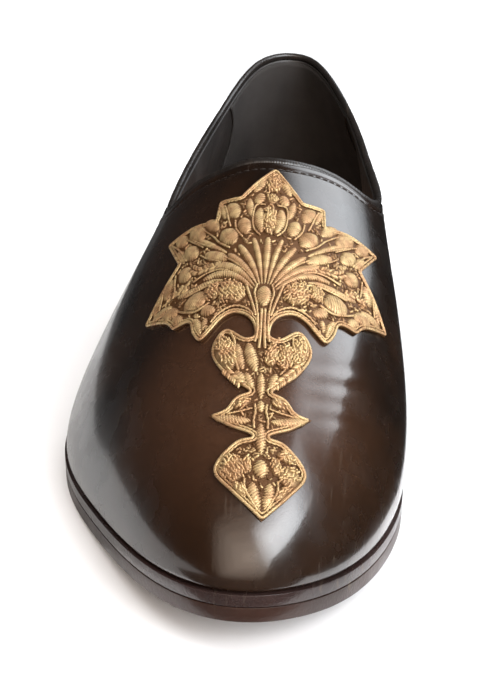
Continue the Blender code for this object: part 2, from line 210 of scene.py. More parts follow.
def crossways(ways):
    """Flat directions turned by a quarter, from their first axis towards the second."""
    return np.stack((-ways[..., 1], ways[..., 0]), axis=-1)


def lengths_along(points):
    """The length from the first point to each, along their line."""
    return np.concatenate(([0.0], np.cumsum(np.linalg.norm(np.diff(points, axis=0), axis=1))))


def points_at(at, lengths, points):
    """The places on a line of points that lie so far from its start."""
    return np.stack([np.interp(at, lengths, column) for column in points.T], axis=-1)


def eased(value, start, end):
    """0 before start, 1 after end, and a smooth step between."""
    share = np.clip((np.asarray(value, float) - start) / (end - start), 0.0, 1.0)
    return share * share * (3 - 2 * share)


def bump(distance, width):
    """1 at distance 0, falling smoothly to nothing a few widths away."""
    return np.exp(-((distance / width) ** 2))


def tread_height(along):
    """Height of the outsole's underside: the heel seat, the waist, the flat tread and the toe spring."""
    waist = (HEEL_HEIGHT + GAP) * (1 - eased(along, HEEL_BREAST, TREAD_FLAT[0]))
    ahead = np.maximum(along - TREAD_FLAT[1], 0.0) / (LAST_LENGTH - TREAD_FLAT[1])
    return waist + TOE_SPRING * ahead**1.7


def edge_height(along):
    """Height of the feather edge, on top of the sole's layers."""
    return tread_height(along) + OUTSOLE + MIDSOLE + 2 * GAP


def feather_edge(turn, outset=0.0):
    """The feather edge as along and across, moved outwards by outset, and the way outwards."""
    step = 1e-4
    way = section_at(turn + step)[..., :2] - section_at(turn - step)[..., :2]
    outwards = unit(crossways(way))
    return section_at(turn)[..., :2] + outwards * np.asarray(outset)[..., None], outwards


def sole_lip(along):
    """How far the sole stands out of the feather edge."""
    back, front = SOLE_LIP
    return back + (front - back) * eased(along, *LIP_GROWS)


def sole_edge(turn, inset=0.0):
    """The sole's outline as along and across, drawn in by inset."""
    return feather_edge(turn, sole_lip(section_at(turn)[..., 0]) - inset)[0]


def upper_curve(turn, climb):
    """Places of the upper's outer face."""
    row = section_at(turn)
    edge, outwards = feather_edge(turn)
    foot = np.concatenate((edge, edge_height(edge[..., :1]) + GAP), axis=-1)
    top = row[..., 2:5]
    wall = foot + np.concatenate((outwards * row[..., 6:7], row[..., 5:6]), axis=-1)
    slope = unit(edge - top[..., :2])
    crown = top + np.concatenate((slope * row[..., 7:8], -row[..., 8:9]), axis=-1)
    up = np.asarray(climb, float)[..., None]
    down = 1.0 - up
    return down**3 * foot + 3 * down**2 * up * wall + 3 * down * up**2 * crown + up**3 * top


def upper_frame(turn, climb):
    """The outer face at places: the points, their outward normals and the way around the shoe."""
    step = 1e-3
    low, high = np.maximum(climb - step, 0.0), np.minimum(climb + step, 1.0)
    around = upper_curve(turn + step, climb) - upper_curve(turn - step, climb)
    upwards = upper_curve(turn, high) - upper_curve(turn, low)
    return upper_curve(turn, climb), unit(np.cross(upwards, around)), unit(around)


def in_frame(places):
    """Places along, across and over the floor, in millimetres, as points of the frame, in metres."""
    along, across, height = places[..., 0], places[..., 1], places[..., 2]
    return np.stack((across + HEEL_BACK[0], HEEL_BACK[1] - along, height), axis=-1) * MM


def way_in_frame(ways):
    """Directions along, across and upwards as directions of the frame."""
    return ways[..., [1, 0, 2]] * np.array([1, -1, 1])


def crease_relief(places):
    """How far the creases lift the upper at its places, in millimetres."""
    relief = np.zeros(places.shape[:-1])
    shares = np.linspace(0, 1, 25)[:, None]
    for crease in CREASES:
        start, middle, end = (np.array(place) for place in (crease.start, crease.middle, crease.end))
        bend = 2 * middle - (start + end) / 2
        line = (1 - shares) ** 2 * start + 2 * shares * (1 - shares) * bend + shares**2 * end
        points = upper_curve(line[:, 0], line[:, 1])
        fade = np.sin(np.pi * shares[:, 0]) ** 0.7
        apart = np.linalg.norm(places[..., None, :] - points, axis=-1)
        relief -= crease.depth * np.max(bump(apart, crease.width) * fade, axis=-1)
    return relief


def hand_wave(places):
    """The slight unevenness of leather pulled over a last by hand, in millimetres."""
    along, across, height = (places[..., axis] / 10 for axis in range(3))
    slow = np.sin(0.83 * along + 0.6 * height) * np.cos(0.71 * across - 0.4 * along)
    quick = np.sin(1.9 * across + 1.3 * height + 0.5 * along) * np.cos(1.6 * along - 1.1 * height)
    return 0.05 * slow + 0.018 * quick


def rim_distance(turn, climb):
    """How far places lie below the top line, in millimetres."""
    return np.linalg.norm(upper_curve(turn, climb) - upper_curve(turn, np.ones_like(climb)), axis=-1)


def seam_distance(turn, climb):
    """How far places lie from the nearer side seam, in millimetres: positive on the vamp."""
    seam = np.where(turn < 0.5, SEAM_TURN, 1 - SEAM_TURN)
    apart = np.linalg.norm(upper_curve(turn, climb) - upper_curve(seam, climb), axis=-1)
    return apart * np.sign(np.where(turn < 0.5, turn - seam, seam - turn))


def rolled(distance, radius):
    """How far a folded edge has rounded off at a distance from it."""
    near = np.clip(distance / radius, 0.0, 1.0)
    return radius * (1 - np.sqrt(1 - (1 - near) ** 2))


# ---------------------------------------------------------------------------------------------------------
# Modelling helpers.


def deselect_all():
    """Leaves edit mode and selects nothing."""
    if bpy.context.object and bpy.context.object.mode != "OBJECT":
        bpy.ops.object.mode_set(mode="OBJECT")
    bpy.ops.object.select_all(action="DESELECT")


def choose(made):
    """Makes one object the only selected and the active one."""
    deselect_all()
    made.select_set(True)
    bpy.context.view_layer.objects.active = made


def named(name):
    """The piece made last, under its name."""
    made = bpy.context.object
    made.name = made.data.name = name
    return made


def set_points(mesh, points):
    """Moves a mesh's points to the rows given."""
    mesh.vertices.foreach_set("co", np.asarray(points, np.float32).ravel())
    mesh.update()


def get_points(mesh):
    """A mesh's points as rows."""
    points = np.empty(len(mesh.vertices) * 3, np.float32)
    mesh.vertices.foreach_get("co", points)
    return points.reshape(-1, 3).astype(float)


def mark_tones(mesh, tones):
    """Gives each point a mark from 0 to 1, which a material may read; the gold threads paint light and shade
    by it, dark at 0 and bright at 1.
    """
    marks = mesh.attributes.new("tone", "FLOAT", "POINT")
    marks.data.foreach_set("value", np.asarray(tones, np.float32))


def facing_out(made):
    """Turns a closed piece's faces outwards."""
    choose(made)
    bpy.ops.object.mode_set(mode="EDIT")
    bpy.ops.mesh.select_all(action="SELECT")
    bpy.ops.mesh.normals_make_consistent(inside=False)
    bpy.ops.object.mode_set(mode="OBJECT")
    return made


def sheet(name, columns, rows, place, size=(1.0, 1.0), turned_over=False, tone=None):
    """A sheet of leather or thread: a grid whose corners lie where place(u, v) puts them, in metres.

    u runs over the columns and v over the rows, each from 0 to 1. size gives the sheet's width and length in
    millimetres for its UV map, and tone(u, v) the mark at each corner.
    """
    deselect_all()
    bpy.ops.mesh.primitive_grid_add(x_subdivisions=columns, y_subdivisions=rows, size=1.0)
    made = named(name)
    flat = get_points(made.data)
    u, v = np.clip(flat[:, 0] + 0.5, 0, 1), np.clip(flat[:, 1] + 0.5, 0, 1)
    set_points(made.data, place(u, v))
    if tone is not None:
        mark_tones(made.data, tone(u, v))
    corners = made.data.uv_layers.active.data
    flat_uv = np.empty(len(corners) * 2, np.float32)
    corners.foreach_get("uv", flat_uv)
    corners.foreach_set("uv", (flat_uv.reshape(-1, 2) * np.array(size)).astype(np.float32).ravel())
    bpy.ops.object.mode_set(mode="EDIT")
    bpy.ops.mesh.select_all(action="SELECT")
    if turned_over:
        bpy.ops.mesh.flip_normals()
    bpy.ops.mesh.remove_doubles(threshold=1e-6)
    bpy.ops.object.mode_set(mode="OBJECT")
    bpy.ops.object.shade_smooth()
    return made


def apply_modifier(made, kind, **settings):
    """Gives an object a modifier and applies it."""
    choose(made)
    added = made.modifiers.new(kind.lower(), kind)
    for key, value in settings.items():
        setattr(added, key, value)
    bpy.ops.object.modifier_apply(modifier=added.name)


def joined(name, pieces):
    """Several objects made one."""
    deselect_all()
    for piece in pieces:
        piece.select_set(True)
    bpy.context.view_layer.objects.active = pieces[0]
    bpy.ops.object.join()
    return named(name)


def finish_piece(made, finish, stands_for=()):
    """Gives a piece its material and lets it ride on the shoe."""
    made.data.materials.clear()
    made.data.materials.append(finish)
    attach(made, "root")
    if stands_for:
        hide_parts(*stands_for)


def smooth_angle(made, degrees):
    """Shades a piece smooth but for edges that are sharper than an angle."""
    choose(made)
    bpy.ops.object.shade_smooth_by_angle(angle=np.radians(degrees))


def copies(name, pattern, places, ways, normals, lengths=None, tones=None):
    """One piece: the pattern's mesh at each place, its X along the way and its Z along the normal."""
    base = get_points(pattern.data)
    sides = np.cross(normals, ways)
    lengths = np.ones(len(places)) if lengths is None else lengths
    unchanged = np.ones_like(lengths)
    stretched = base * np.stack((lengths, unchanged, unchanged), axis=-1)[:, None]
    points = (
        places[:, None]
        + stretched[..., 0:1] * ways[:, None]
        + stretched[..., 1:2] * sides[:, None]
        + stretched[..., 2:3] * normals[:, None]
    )
    faces = [tuple(face.vertices) for face in pattern.data.polygons]
    step = len(base)
    starts = range(0, step * len(places), step)
    all_faces = [tuple(corner + start for corner in face) for start in starts for face in faces]
    mesh = bpy.data.meshes.new(name)
    mesh.from_pydata(points.reshape(-1, 3).tolist(), [], all_faces)
    if tones is not None:
        mark_tones(mesh, np.repeat(tones, step))
    made = bpy.data.objects.new(name, mesh)
    bpy.context.scene.collection.objects.link(made)
    choose(made)
    bpy.ops.object.shade_smooth()
    bpy.data.objects.remove(pattern)
    return made


# ---------------------------------------------------------------------------------------------------------
# Materials. Patterns that more than one finish uses are node groups, which put out masks and heights alone.


def wire(tree, kind, inputs=None, **settings):
    """Adds a shader node, sets it up, and sets or links its inputs."""
    made = tree.nodes.new("ShaderNode" + kind)
    for key, value in settings.items():
        setattr(made, key, value)
    for key, value in (inputs or {}).items():
        if isinstance(value, bpy.types.NodeSocket):
            tree.links.new(value, made.inputs[key])
        else:
            made.inputs[key].default_value = value
    return made


def mixed(tree, share, first, second):
    """The colour between two, by a share."""
    return wire(tree, "Mix", {0: share, 6: first, 7: second}, data_type="RGBA").outputs[2]


def ranged(tree, value, low, high, start=0.0, end=1.0):
    """A value's place between low and high, taken to between start and end with a smooth step."""
    inputs = {"Value": value, "From Min": low, "From Max": high, "To Min": start, "To Max": end}
    return wire(tree, "MapRange", inputs, interpolation_type="SMOOTHSTEP").outputs[0]


def sums(tree, operation, first, second):
    """Two values added, multiplied or worked out otherwise."""
    return wire(tree, "Math", {0: first, 1: second}, operation=operation).outputs[0]


def piece_place(tree):
    """The place on a piece, in metres."""
    return wire(tree, "TexCoord").outputs["Object"]


def noise(tree, place, scale, detail=2.0):
    """Soft noise from 0 to 1."""
    return wire(tree, "TexNoise", {"Vector": place, "Scale": scale, "Detail": detail}).outputs[0]


def new_group(name, inputs, outputs):
    """A node group with float inputs and outputs, and its two end nodes."""
    tree = bpy.data.node_groups.new(name, "ShaderNodeTree")
    for label, value in inputs.items():
        socket = tree.interface.new_socket(name=label, in_out="INPUT", socket_type="NodeSocketFloat")
        socket.default_value = value
    for label in outputs:
        tree.interface.new_socket(name=label, in_out="OUTPUT", socket_type="NodeSocketFloat")
    return tree, tree.nodes.new("NodeGroupInput"), tree.nodes.new("NodeGroupOutput")


def use_group(tree, name, **inputs):
    """A shared group placed in a material with its own values."""
    made = tree.nodes.new("ShaderNodeGroup")
    made.node_tree = bpy.data.node_groups[name]
    for label, value in inputs.items():
        made.inputs[label.replace("_", " ")].default_value = value
    return made


def make_grain_group():
    """Leather: pores and fine wrinkles as a height, and the hide's cloudy tint as a mask."""
    tree, given, result = new_group(
        "leather grain", {"Pores": 2600.0, "Wrinkle": 0.5}, ("Height", "Clouds", "Polish")
    )
    place = piece_place(tree)
    cells = {"Vector": place, "Scale": given.outputs["Pores"]}
    pores = wire(tree, "TexVoronoi", cells, feature="SMOOTH_F1").outputs["Distance"]
    pitted = ranged(tree, pores, 0.05, 0.6)
    pulled = wire(tree, "Mapping", {"Vector": place, "Scale": (1.0, 2.4, 1.6)}).outputs[0]
    folds = {"Vector": pulled, "Scale": 420.0, "Detail": 5.0, "Distortion": 1.2}
    lines = ranged(tree, wire(tree, "TexNoise", folds).outputs[0], 0.35, 0.6)
    height = wire(tree, "Mix", {0: given.outputs["Wrinkle"], 2: pitted, 3: lines}).outputs[0]
    tree.links.new(height, result.inputs["Height"])
    tree.links.new(ranged(tree, noise(tree, place, 26.0, 3.0), 0.36, 0.64), result.inputs["Clouds"])
    tree.links.new(ranged(tree, noise(tree, place, 90.0, 4.0), 0.3, 0.7), result.inputs["Polish"])


def make_scuff_group():
    """Fine rubbed lines and specks of wear, as a mask."""
    tree, given, result = new_group("scuffs", {"Amount": 0.5}, ("Mask",))
    place = piece_place(tree)
    drawn = {"Vector": place, "Rotation": (0.4, 0.9, 0.5), "Scale": (6.0, 0.5, 1.0)}
    scratches = noise(tree, wire(tree, "Mapping", drawn).outputs[0], 160.0, 3.0)
    patches = noise(tree, place, 45.0)
    worn = sums(tree, "MULTIPLY", ranged(tree, scratches, 0.58, 0.72), ranged(tree, patches, 0.45, 0.7))
    tree.links.new(sums(tree, "MULTIPLY", worn, given.outputs["Amount"]), result.inputs["Mask"])


def make_thread_group():
    """Threads laid side by side on a piece's own UV map, in millimetres, as a height and a shade."""
    tree, given, result = new_group("laid thread", {"Pitch": 0.4, "Slant": 0.6}, ("Height", "Shade"))
    place = wire(tree, "TexCoord").outputs["UV"]
    parts = wire(tree, "SeparateXYZ", {0: place})
    slanted = sums(tree, "MULTIPLY", parts.outputs["X"], given.outputs["Slant"])
    run = sums(tree, "DIVIDE", sums(tree, "ADD", parts.outputs["Y"], slanted), given.outputs["Pitch"])
    wave = sums(tree, "SINE", sums(tree, "MULTIPLY", run, 2 * np.pi), 0.0)
    height = ranged(tree, wave, -0.9, 0.7)
    number = sums(tree, "FLOOR", run, 0.0)
    strand = wire(tree, "TexWhiteNoise", {"W": number}, noise_dimensions="1D").outputs[0]
    tree.links.new(height, result.inputs["Height"])
    tree.links.new(strand, result.inputs["Shade"])


def new_material(name, **values):
    """A material with a Principled BSDF whose plain values are set on its own sockets."""
    made = bpy.data.materials.new(name)
    made.use_nodes = True
    shader = made.node_tree.nodes["Principled BSDF"]
    for label, value in values.items():
        shader.inputs[label.replace("_", " ")].default_value = value
    return made, made.node_tree, shader


def colour4(colour):
    """The colour with its alpha."""
    return (*colour, 1.0)


def times(colour, share):
    """The colour made darker or lighter by a share."""
    return tuple(share * part for part in colour)


def add_bump(tree, shader, height, depth_mm):
    """Presses a height, from 0 to 1, into the surface by a depth in millimetres."""
    bumped = wire(tree, "Bump", {"Height": height, "Distance": depth_mm * MM, "Strength": 1.0})
    tree.links.new(bumped.outputs[0], shader.inputs["Normal"])


# The palest place of the vamp's leather, the middle of its painted sheen, and how far from it the painted
# sheen starts to darken and ends, in metres.
VAMP_SHEEN_MIDDLE = (0.008, -0.098, 0.047)
VAMP_SHEEN_FADE = (0.012, 0.046)


def leather(name, dark, light, roughness, coat=0.0, coat_roughness=0.1, pores=2600.0, wrinkle=0.5,
            depth=0.03, scuff=0.3, scuffed=(0.10, 0.075, 0.055), painted_sheen=None):
    """Dyed leather: a cloudy tint, pores and wrinkles, an uneven polish and light scuffs.

    A painted sheen is the paler colour painted around the middle of the vamp, darkening towards toe and
    sides.
    """
    made, tree, shader = new_material(name, Coat_Weight=coat, Coat_Roughness=coat_roughness)
    grain = use_group(tree, "leather grain", Pores=pores, Wrinkle=wrinkle)
    scuffs = use_group(tree, "scuffs", Amount=scuff)
    tint = mixed(tree, grain.outputs["Clouds"], colour4(dark), colour4(light))
    # Painted sheen: the vamp is painted paler around its middle, fading to its clouded tint towards toe and
    # sides.
    if painted_sheen:
        ends = {0: piece_place(tree), 1: VAMP_SHEEN_MIDDLE}
        away = wire(tree, "VectorMath", ends, operation="DISTANCE").outputs["Value"]
        tint = mixed(tree, ranged(tree, away, *VAMP_SHEEN_FADE, 1.0, 0.0), tint, colour4(painted_sheen))
    pored = mixed(tree, sums(tree, "MULTIPLY", grain.outputs["Height"], 0.35), tint, colour4(dark))
    tree.links.new(mixed(tree, scuffs.outputs["Mask"], pored, colour4(scuffed)), shader.inputs["Base Color"])
    rough = ranged(tree, grain.outputs["Polish"], 0.0, 1.0, roughness - 0.04, roughness + 0.07)
    worn = sums(tree, "MULTIPLY", scuffs.outputs["Mask"], 0.25)
    tree.links.new(sums(tree, "ADD", rough, worn), shader.inputs["Roughness"])
    add_bump(tree, shader, grain.outputs["Height"], depth)
    return made


def gold_thread(name, bright, warm, shade, roughness, metallic, pitch, slant, depth):
    """Metal thread: painted bright on top, with painted shade in its crevices and between its strands, which
    are laid side by side.
    """
    made, tree, shader = new_material(name, Metallic=metallic)
    strands = use_group(tree, "laid thread", Pitch=pitch, Slant=slant)
    place = piece_place(tree)
    patches, specks = noise(tree, place, 210.0, 3.0), noise(tree, place, 1300.0)
    tint = mixed(tree, ranged(tree, patches, 0.38, 0.62), colour4(bright), colour4(warm))
    # Painted light and shade: the tone mark takes the thread from its shade colour where it is low to its
    # tint where it is lit.
    tone = wire(tree, "Attribute", attribute_name="tone").outputs["Fac"]
    lit_and_shaded = mixed(tree, ranged(tree, tone, 0.12, 0.80), colour4(shade), tint)
    # Painted shade in the furrows between the strands.
    furrow = ranged(tree, strands.outputs["Height"], 0.0, 0.5, 0.35, 0.0)
    lined = mixed(tree, furrow, lit_and_shaded, colour4(shade))
    dull = mixed(tree, ranged(tree, specks, 0.58, 0.7, 0.0, 0.35), lined, colour4(shade))
    tree.links.new(dull, shader.inputs["Base Color"])
    rough = ranged(tree, strands.outputs["Shade"], 0.0, 1.0, roughness - 0.08, roughness + 0.12)
    tree.links.new(rough, shader.inputs["Roughness"])
    add_bump(tree, shader, strands.outputs["Height"], depth)
    return made


# ---------------------------------------------------------------------------------------------------------
# The upper.


def crowded(share, part, end):
    """Spreads places evenly but for the last ones, so that a part of them lies beyond end."""
    near = share / (1 - part) * end
    far = end + (share - (1 - part)) / part * (1 - end)
    return np.where(share < 1 - part, near, far)


def upper_lift(turn, climb, base):
    """The upper's lift with its creases, hand-pulled wave, binding groove and rounded edges."""
    places = upper_curve(turn, climb)
    rim = rim_distance(turn, climb)
    feather = np.linalg.norm(places - upper_curve(turn, np.zeros_like(climb)), axis=-1)
    calm = eased(rim, 1.0, 6.0) * eased(feather, 0.5, 4.0)
    lift = base + (crease_relief(places) + hand_wave(places)) * calm
    lift -= GROOVE_DEPTH * bump(rim - GROOVE_DOWN, GROOVE_WIDTH)
    lift -= RIM_ROUNDING * rolled(rim, RIM_ROUNDING)
    lift -= FEATHER_ROUNDING * rolled(feather, FEATHER_ROUNDING)
    return lift


def on_upper(turn, climb, lift):
    """Points of the frame on the upper, lifted off its outer face."""
    points, normals, _ = upper_frame(turn, climb)
    return in_frame(points + normals * np.asarray(lift)[..., None])


def vamp_place(u, v):
    """The vamp, with its rows crowded at the top line and its columns at the side seams."""
    half = np.where(u < 0.5, 1 - 2 * u, 2 * u - 1)
    spread = crowded(half, part=0.14, end=0.965)
    turn = 0.5 + np.sign(u - 0.5) * spread * (0.5 - SEAM_TURN)
    climb = crowded(v, part=0.2, end=0.955)
    seam = seam_distance(turn, climb)
    lift = upper_lift(turn, climb, VAMP_STEP) - 0.7 * rolled(seam, SEAM_ROUNDING)
    for away, depth in zip(ROWS_FROM_SEAM, ROW_DEPTHS):
        lift -= depth * bump(seam - away, ROW_WIDTH)
    return on_upper(turn, climb, lift)


def quarter_place(u, v):
    """The quarters: a strip around the heel, with a seam at its back, whose ends go under the vamp."""
    reach = SEAM_TURN + 0.010
    turn = (u - 0.5) * 2 * reach
    climb = crowded(v, part=0.25, end=0.93)
    lift = upper_lift(turn, climb, 0.0)
    back = np.abs(upper_curve(turn, climb)[..., 1] - upper_curve(np.zeros_like(turn), climb)[..., 1])
    lift -= 0.22 * bump(back, 0.45) * (np.abs(turn) < 0.05)
    lift -= 0.2 * eased(np.abs(turn), SEAM_TURN + 0.002, reach)
    return on_upper(turn, climb, lift)


def lining_place(u, v):
    """The lining's face towards the wall, all around the shoe."""
    return on_upper(u, v, -WALL + LINING_THICKNESS - 0.6 * rolled(rim_distance(u, v), 0.6))


def grip_place(u, v):
    """The heel grip, a suede piece on the lining behind the heel, its front edges running down in a curve."""
    climb = 0.10 + 0.885 * v
    turn = (u - 0.5) * 2 * (0.135 - 0.03 * np.sin(np.pi * v))
    return on_upper(turn, climb, -WALL - 0.05 * np.ones_like(u))


# A hide of the upper is a sheet of so many columns and rows, of a size on the flat and a thickness.
Hide = namedtuple("Hide", "name finish place columns rows size thickness")
HIDES = (
    Hide("vamp", "vamp", vamp_place, 260, 120, (300, 150), 0.55),
    Hide("quarters", "quarter", quarter_place, 260, 60, (300, 60), 0.9),
    Hide("lining", "lining", lining_place, 240, 48, (600, 100), LINING_THICKNESS),
    Hide("heel_grip", "suede", grip_place, 72, 30, (110, 60), GRIP_THICKNESS),
)


def make_upper(finishes):
    """Vamp, quarters, lining and heel grip."""
    for hide in HIDES:
        made = sheet(hide.name, hide.columns, hide.rows, hide.place, hide.size, turned_over=True)
        apply_modifier(made, "SOLIDIFY", thickness=hide.thickness * MM, offset=-1)
        stands_for = ("upper",) if hide.name == "vamp" else ()
        finish_piece(made, finishes[hide.finish], stands_for)


def piping_place(radius):
    """The piping's rolled edge around the opening, drawn down on the wall's top edge."""

    def place(u, v):
        angle = 2 * np.pi * u
        rim, normal, around = upper_frame(v, np.ones_like(v))
        upwards = unit(np.cross(around, normal))
        centre = rim + normal * (VAMP_STEP - WALL) / 2 + upwards * (PIPING_RADIUS + GAP)
        gathers, waves = 2 * np.pi * v * 231, 2 * np.pi * v * 57
        pinch = 1 + 0.025 * np.sin(gathers) + 0.02 * np.sin(waves + 2 * angle)
        rise = np.sin(angle) * np.where(angle > np.pi, 1.5, 1.0)
        ring = normal * np.cos(angle)[..., None] + upwards * rise[..., None]
        return in_frame(centre + ring * (radius * pinch)[..., None])

    return place


def make_piping(finishes, sizes):
    """The piping around the opening."""
    piping = sheet("piping", 14, 960, piping_place(sizes.piping_radius / MM), (7, 430))
    finish_piece(facing_out(piping), finishes["piping"], ("topline_piping",))


def spaced(points, spacing):
    """Indexes into a dense line of points that lie a spacing apart."""
    lengths = lengths_along(points)
    count = max(int(lengths[-1] / spacing), 1)
    return np.searchsorted(lengths, (np.arange(count) + 0.5) * lengths[-1] / count)


def stitch_pattern(length, radius):
    """One stitch: a short thread that dips at both ends."""
    deselect_all()
    bpy.ops.mesh.primitive_uv_sphere_add(segments=8, ring_count=6, radius=1.0)
    made = bpy.context.object
    points = get_points(made.data)[:, [2, 0, 1]]
    points = points * np.array([length / 2, radius, radius])
    points[:, 2] -= 0.5 * radius * (2 * points[:, 0] / length) ** 4
    set_points(made.data, points)
    return made


def make_seam_stitches(finishes, sizes):
    """Two rows along each side seam, and one in the groove below the top line."""
    places, ways, normals = [], [], []

    def add_row(turns, climbs, lift):
        points, up, _ = upper_frame(turns, climbs)
        points = in_frame(points + up * lift)
        chosen = spaced(points, sizes.stitch_spacing)
        places.append(points[chosen])
        ways.append(unit(np.gradient(points, axis=0))[chosen])
        normals.append(way_in_frame(up)[chosen])

    climbs, step = np.linspace(0.02, 0.955, 600), 0.004
    for side, seam in ((1, SEAM_TURN), (-1, 1 - SEAM_TURN)):
        apart = seam_distance(np.full_like(climbs, seam) + side * step, climbs)
        for away in ROWS_FROM_SEAM:
            add_row(seam + side * step * away / apart, climbs, VAMP_STEP - STITCH_SUNK_IN_ROW)
    turns, step = np.linspace(0.0, 1.0, 3000), 0.03
    climbs = 1 - step * GROOVE_DOWN / rim_distance(turns, np.full_like(turns, 1 - step))
    inner, outer = turns < SEAM_TURN - 0.002, turns > 1 - SEAM_TURN + 0.002
    on_vamp = (turns > SEAM_TURN) & (turns < 1 - SEAM_TURN)
    for part, wall in ((inner, 0.0), (outer, 0.0), (on_vamp, VAMP_STEP)):
        add_row(turns[part], climbs[part], wall - STITCH_SUNK_IN_GROOVE)
    places, ways, normals = (np.concatenate(rows) for rows in (places, ways, normals))
    pattern = stitch_pattern(sizes.stitch_spacing * 0.82, sizes.stitch_radius)
    stitches = copies("seam_stitches", pattern, places, ways, unit(normals))
    finish_piece(stitches, finishes["stitch"])


# ---------------------------------------------------------------------------------------------------------
# Sole, heel and sock.


def plate(name, edge, bottom, thickness, stations, bevel, channels=()):
    """A sole layer: an outline cut across at the stations, thickened, grooved and laid on a height line.

    channels are rows of (face, inset, width, depth): a groove pressed into the under or upper face, an inset
    from the edge, all in millimetres.
    """
    deselect_all()
    bpy.ops.mesh.primitive_circle_add(vertices=len(edge), radius=1.0, fill_type="NGON")
    made = named(name)
    flat = np.concatenate((edge, np.zeros((len(edge), 1))), axis=1)
    set_points(made.data, in_frame(flat))
    bpy.ops.object.mode_set(mode="EDIT")
    for along in stations:
        bpy.ops.mesh.select_all(action="SELECT")
        bpy.ops.mesh.bisect(plane_co=(0, (HEEL_BACK[1] - along) * MM, 0), plane_no=(0, 1, 0))
    bpy.ops.mesh.select_all(action="SELECT")
    bpy.ops.mesh.extrude_region_move(TRANSFORM_OT_translate={"value": (0, 0, thickness * MM)})
    bpy.ops.mesh.select_all(action="SELECT")
    bpy.ops.mesh.normals_make_consistent(inside=False)
    bpy.ops.object.mode_set(mode="OBJECT")
    for face, inset, width, depth in channels:
        level = 0.0 if face == "under" else thickness * MM
        for polygon in made.data.polygons:
            polygon.select = abs(polygon.center.z - level) < 1e-6 and abs(polygon.normal.z) > 0.9
        bpy.ops.object.mode_set(mode="EDIT")
        bpy.ops.mesh.inset(thickness=inset * MM)
        bpy.ops.mesh.inset(thickness=width * MM / 2, depth=-depth * MM)
        bpy.ops.mesh.inset(thickness=width * MM / 2, depth=depth * MM)
        bpy.ops.object.mode_set(mode="OBJECT")
    points = get_points(made.data)
    points[:, 2] += bottom(HEEL_BACK[1] - points[:, 1] / MM) * MM
    set_points(made.data, points)
    apply_modifier(
        made, "BEVEL", width=bevel * MM, segments=3, limit_method="ANGLE", angle_limit=np.radians(50)
    )
    smooth_angle(made, 45)
    return made


def sole_stations():
    """Where the sole's layers are cut across, so that they can bend."""
    heel = np.linspace(3, HEEL_BREAST - 3, 8)
    waist = np.linspace(HEEL_BREAST, 200, 34)
    front = np.linspace(TREAD_FLAT[1], LAST_LENGTH - 4, 18)
    return np.concatenate((heel, waist, front))


def make_sole(finishes):
    """Midsole with the welt's edge, and the leather outsole with a stitching channel underneath."""
    edge = sole_edge(np.arange(300) / 300)
    midsole = plate(
        "midsole_edge", edge, lambda along: tread_height(along) + OUTSOLE + GAP, MIDSOLE,
        sole_stations(), bevel=0.7,
    )
    finish_piece(midsole, finishes["welt"], ("midsole",))
    outsole = plate(
        "leather_outsole", edge, tread_height, OUTSOLE, sole_stations(), bevel=0.9,
        channels=(("under", 6.0, 0.9, 0.45),),
    )
    finish_piece(outsole, finishes["sole"], ("outsole",))


def make_sock(finishes):
    """The tan sock on the insole, with a pressed line along its edge."""
    turns = np.arange(220) / 220
    edge = feather_edge(turns, np.full_like(turns, -WALL - 2 * GAP))[0]
    sock = plate(
        "insole_sock", edge, lambda along: edge_height(along) + GAP, INSOLE, sole_stations(), bevel=0.5,
        channels=(("upper", 3.4, 0.8, 0.25),),
    )
    finish_piece(sock, finishes["sock"], ("insole",))


def heel_outline(inset, count=180):
    """The heel's outline drawn in by inset: the sole's edge behind the breast, and the straight breast."""
    breast = HEEL_BREAST - inset
    turns = np.linspace(-0.35, 0.35, 4001)
    edge = sole_edge(turns, inset)
    middle = len(turns) // 2
    inner = edge[middle:][np.argmax(edge[middle:, 0] > breast) - 1]
    outer = edge[: middle + 1][::-1][np.argmax(edge[: middle + 1][::-1, 0] > breast) - 1]
    behind = edge[edge[:, 0] < breast]
    across = np.linspace(inner[1], outer[1], 60)[1:-1]
    front = np.stack((np.full_like(across, breast), across), axis=-1)
    lengths = lengths_along(behind)
    behind = points_at(np.linspace(0, lengths[-1], count), lengths, behind)
    return np.concatenate((behind, front))


def heel_slice(name, levels):
    """A slice of the heel through levels of (height, inset), closed above and below."""
    rings = np.array([heel_outline(inset) for _, inset in levels])
    count = rings.shape[1]

    def place(u, v):
        column = np.round(u * count).astype(int) % count
        row = np.round(v * (len(levels) - 1)).astype(int)
        heights = np.array([height for height, _ in levels])[row]
        return in_frame(np.concatenate((rings[row, column], heights[:, None]), axis=-1))

    made = sheet(name, count, len(levels) - 1, place, (220, 20))
    choose(made)
    bpy.ops.object.mode_set(mode="EDIT")
    bpy.ops.mesh.select_all(action="SELECT")
    bpy.ops.mesh.fill_holes(sides=0)
    bpy.ops.object.mode_set(mode="OBJECT")
    smooth_angle(facing_out(made), 50)
    return made


def tapered(rows):
    """Levels of (height, inset) on the heel's taper, from rows of (height, how much deeper it is cut in)."""
    return [(height, HEEL_TAPER * (1 - height / HEEL_HEIGHT) + cut) for height, cut in rows]


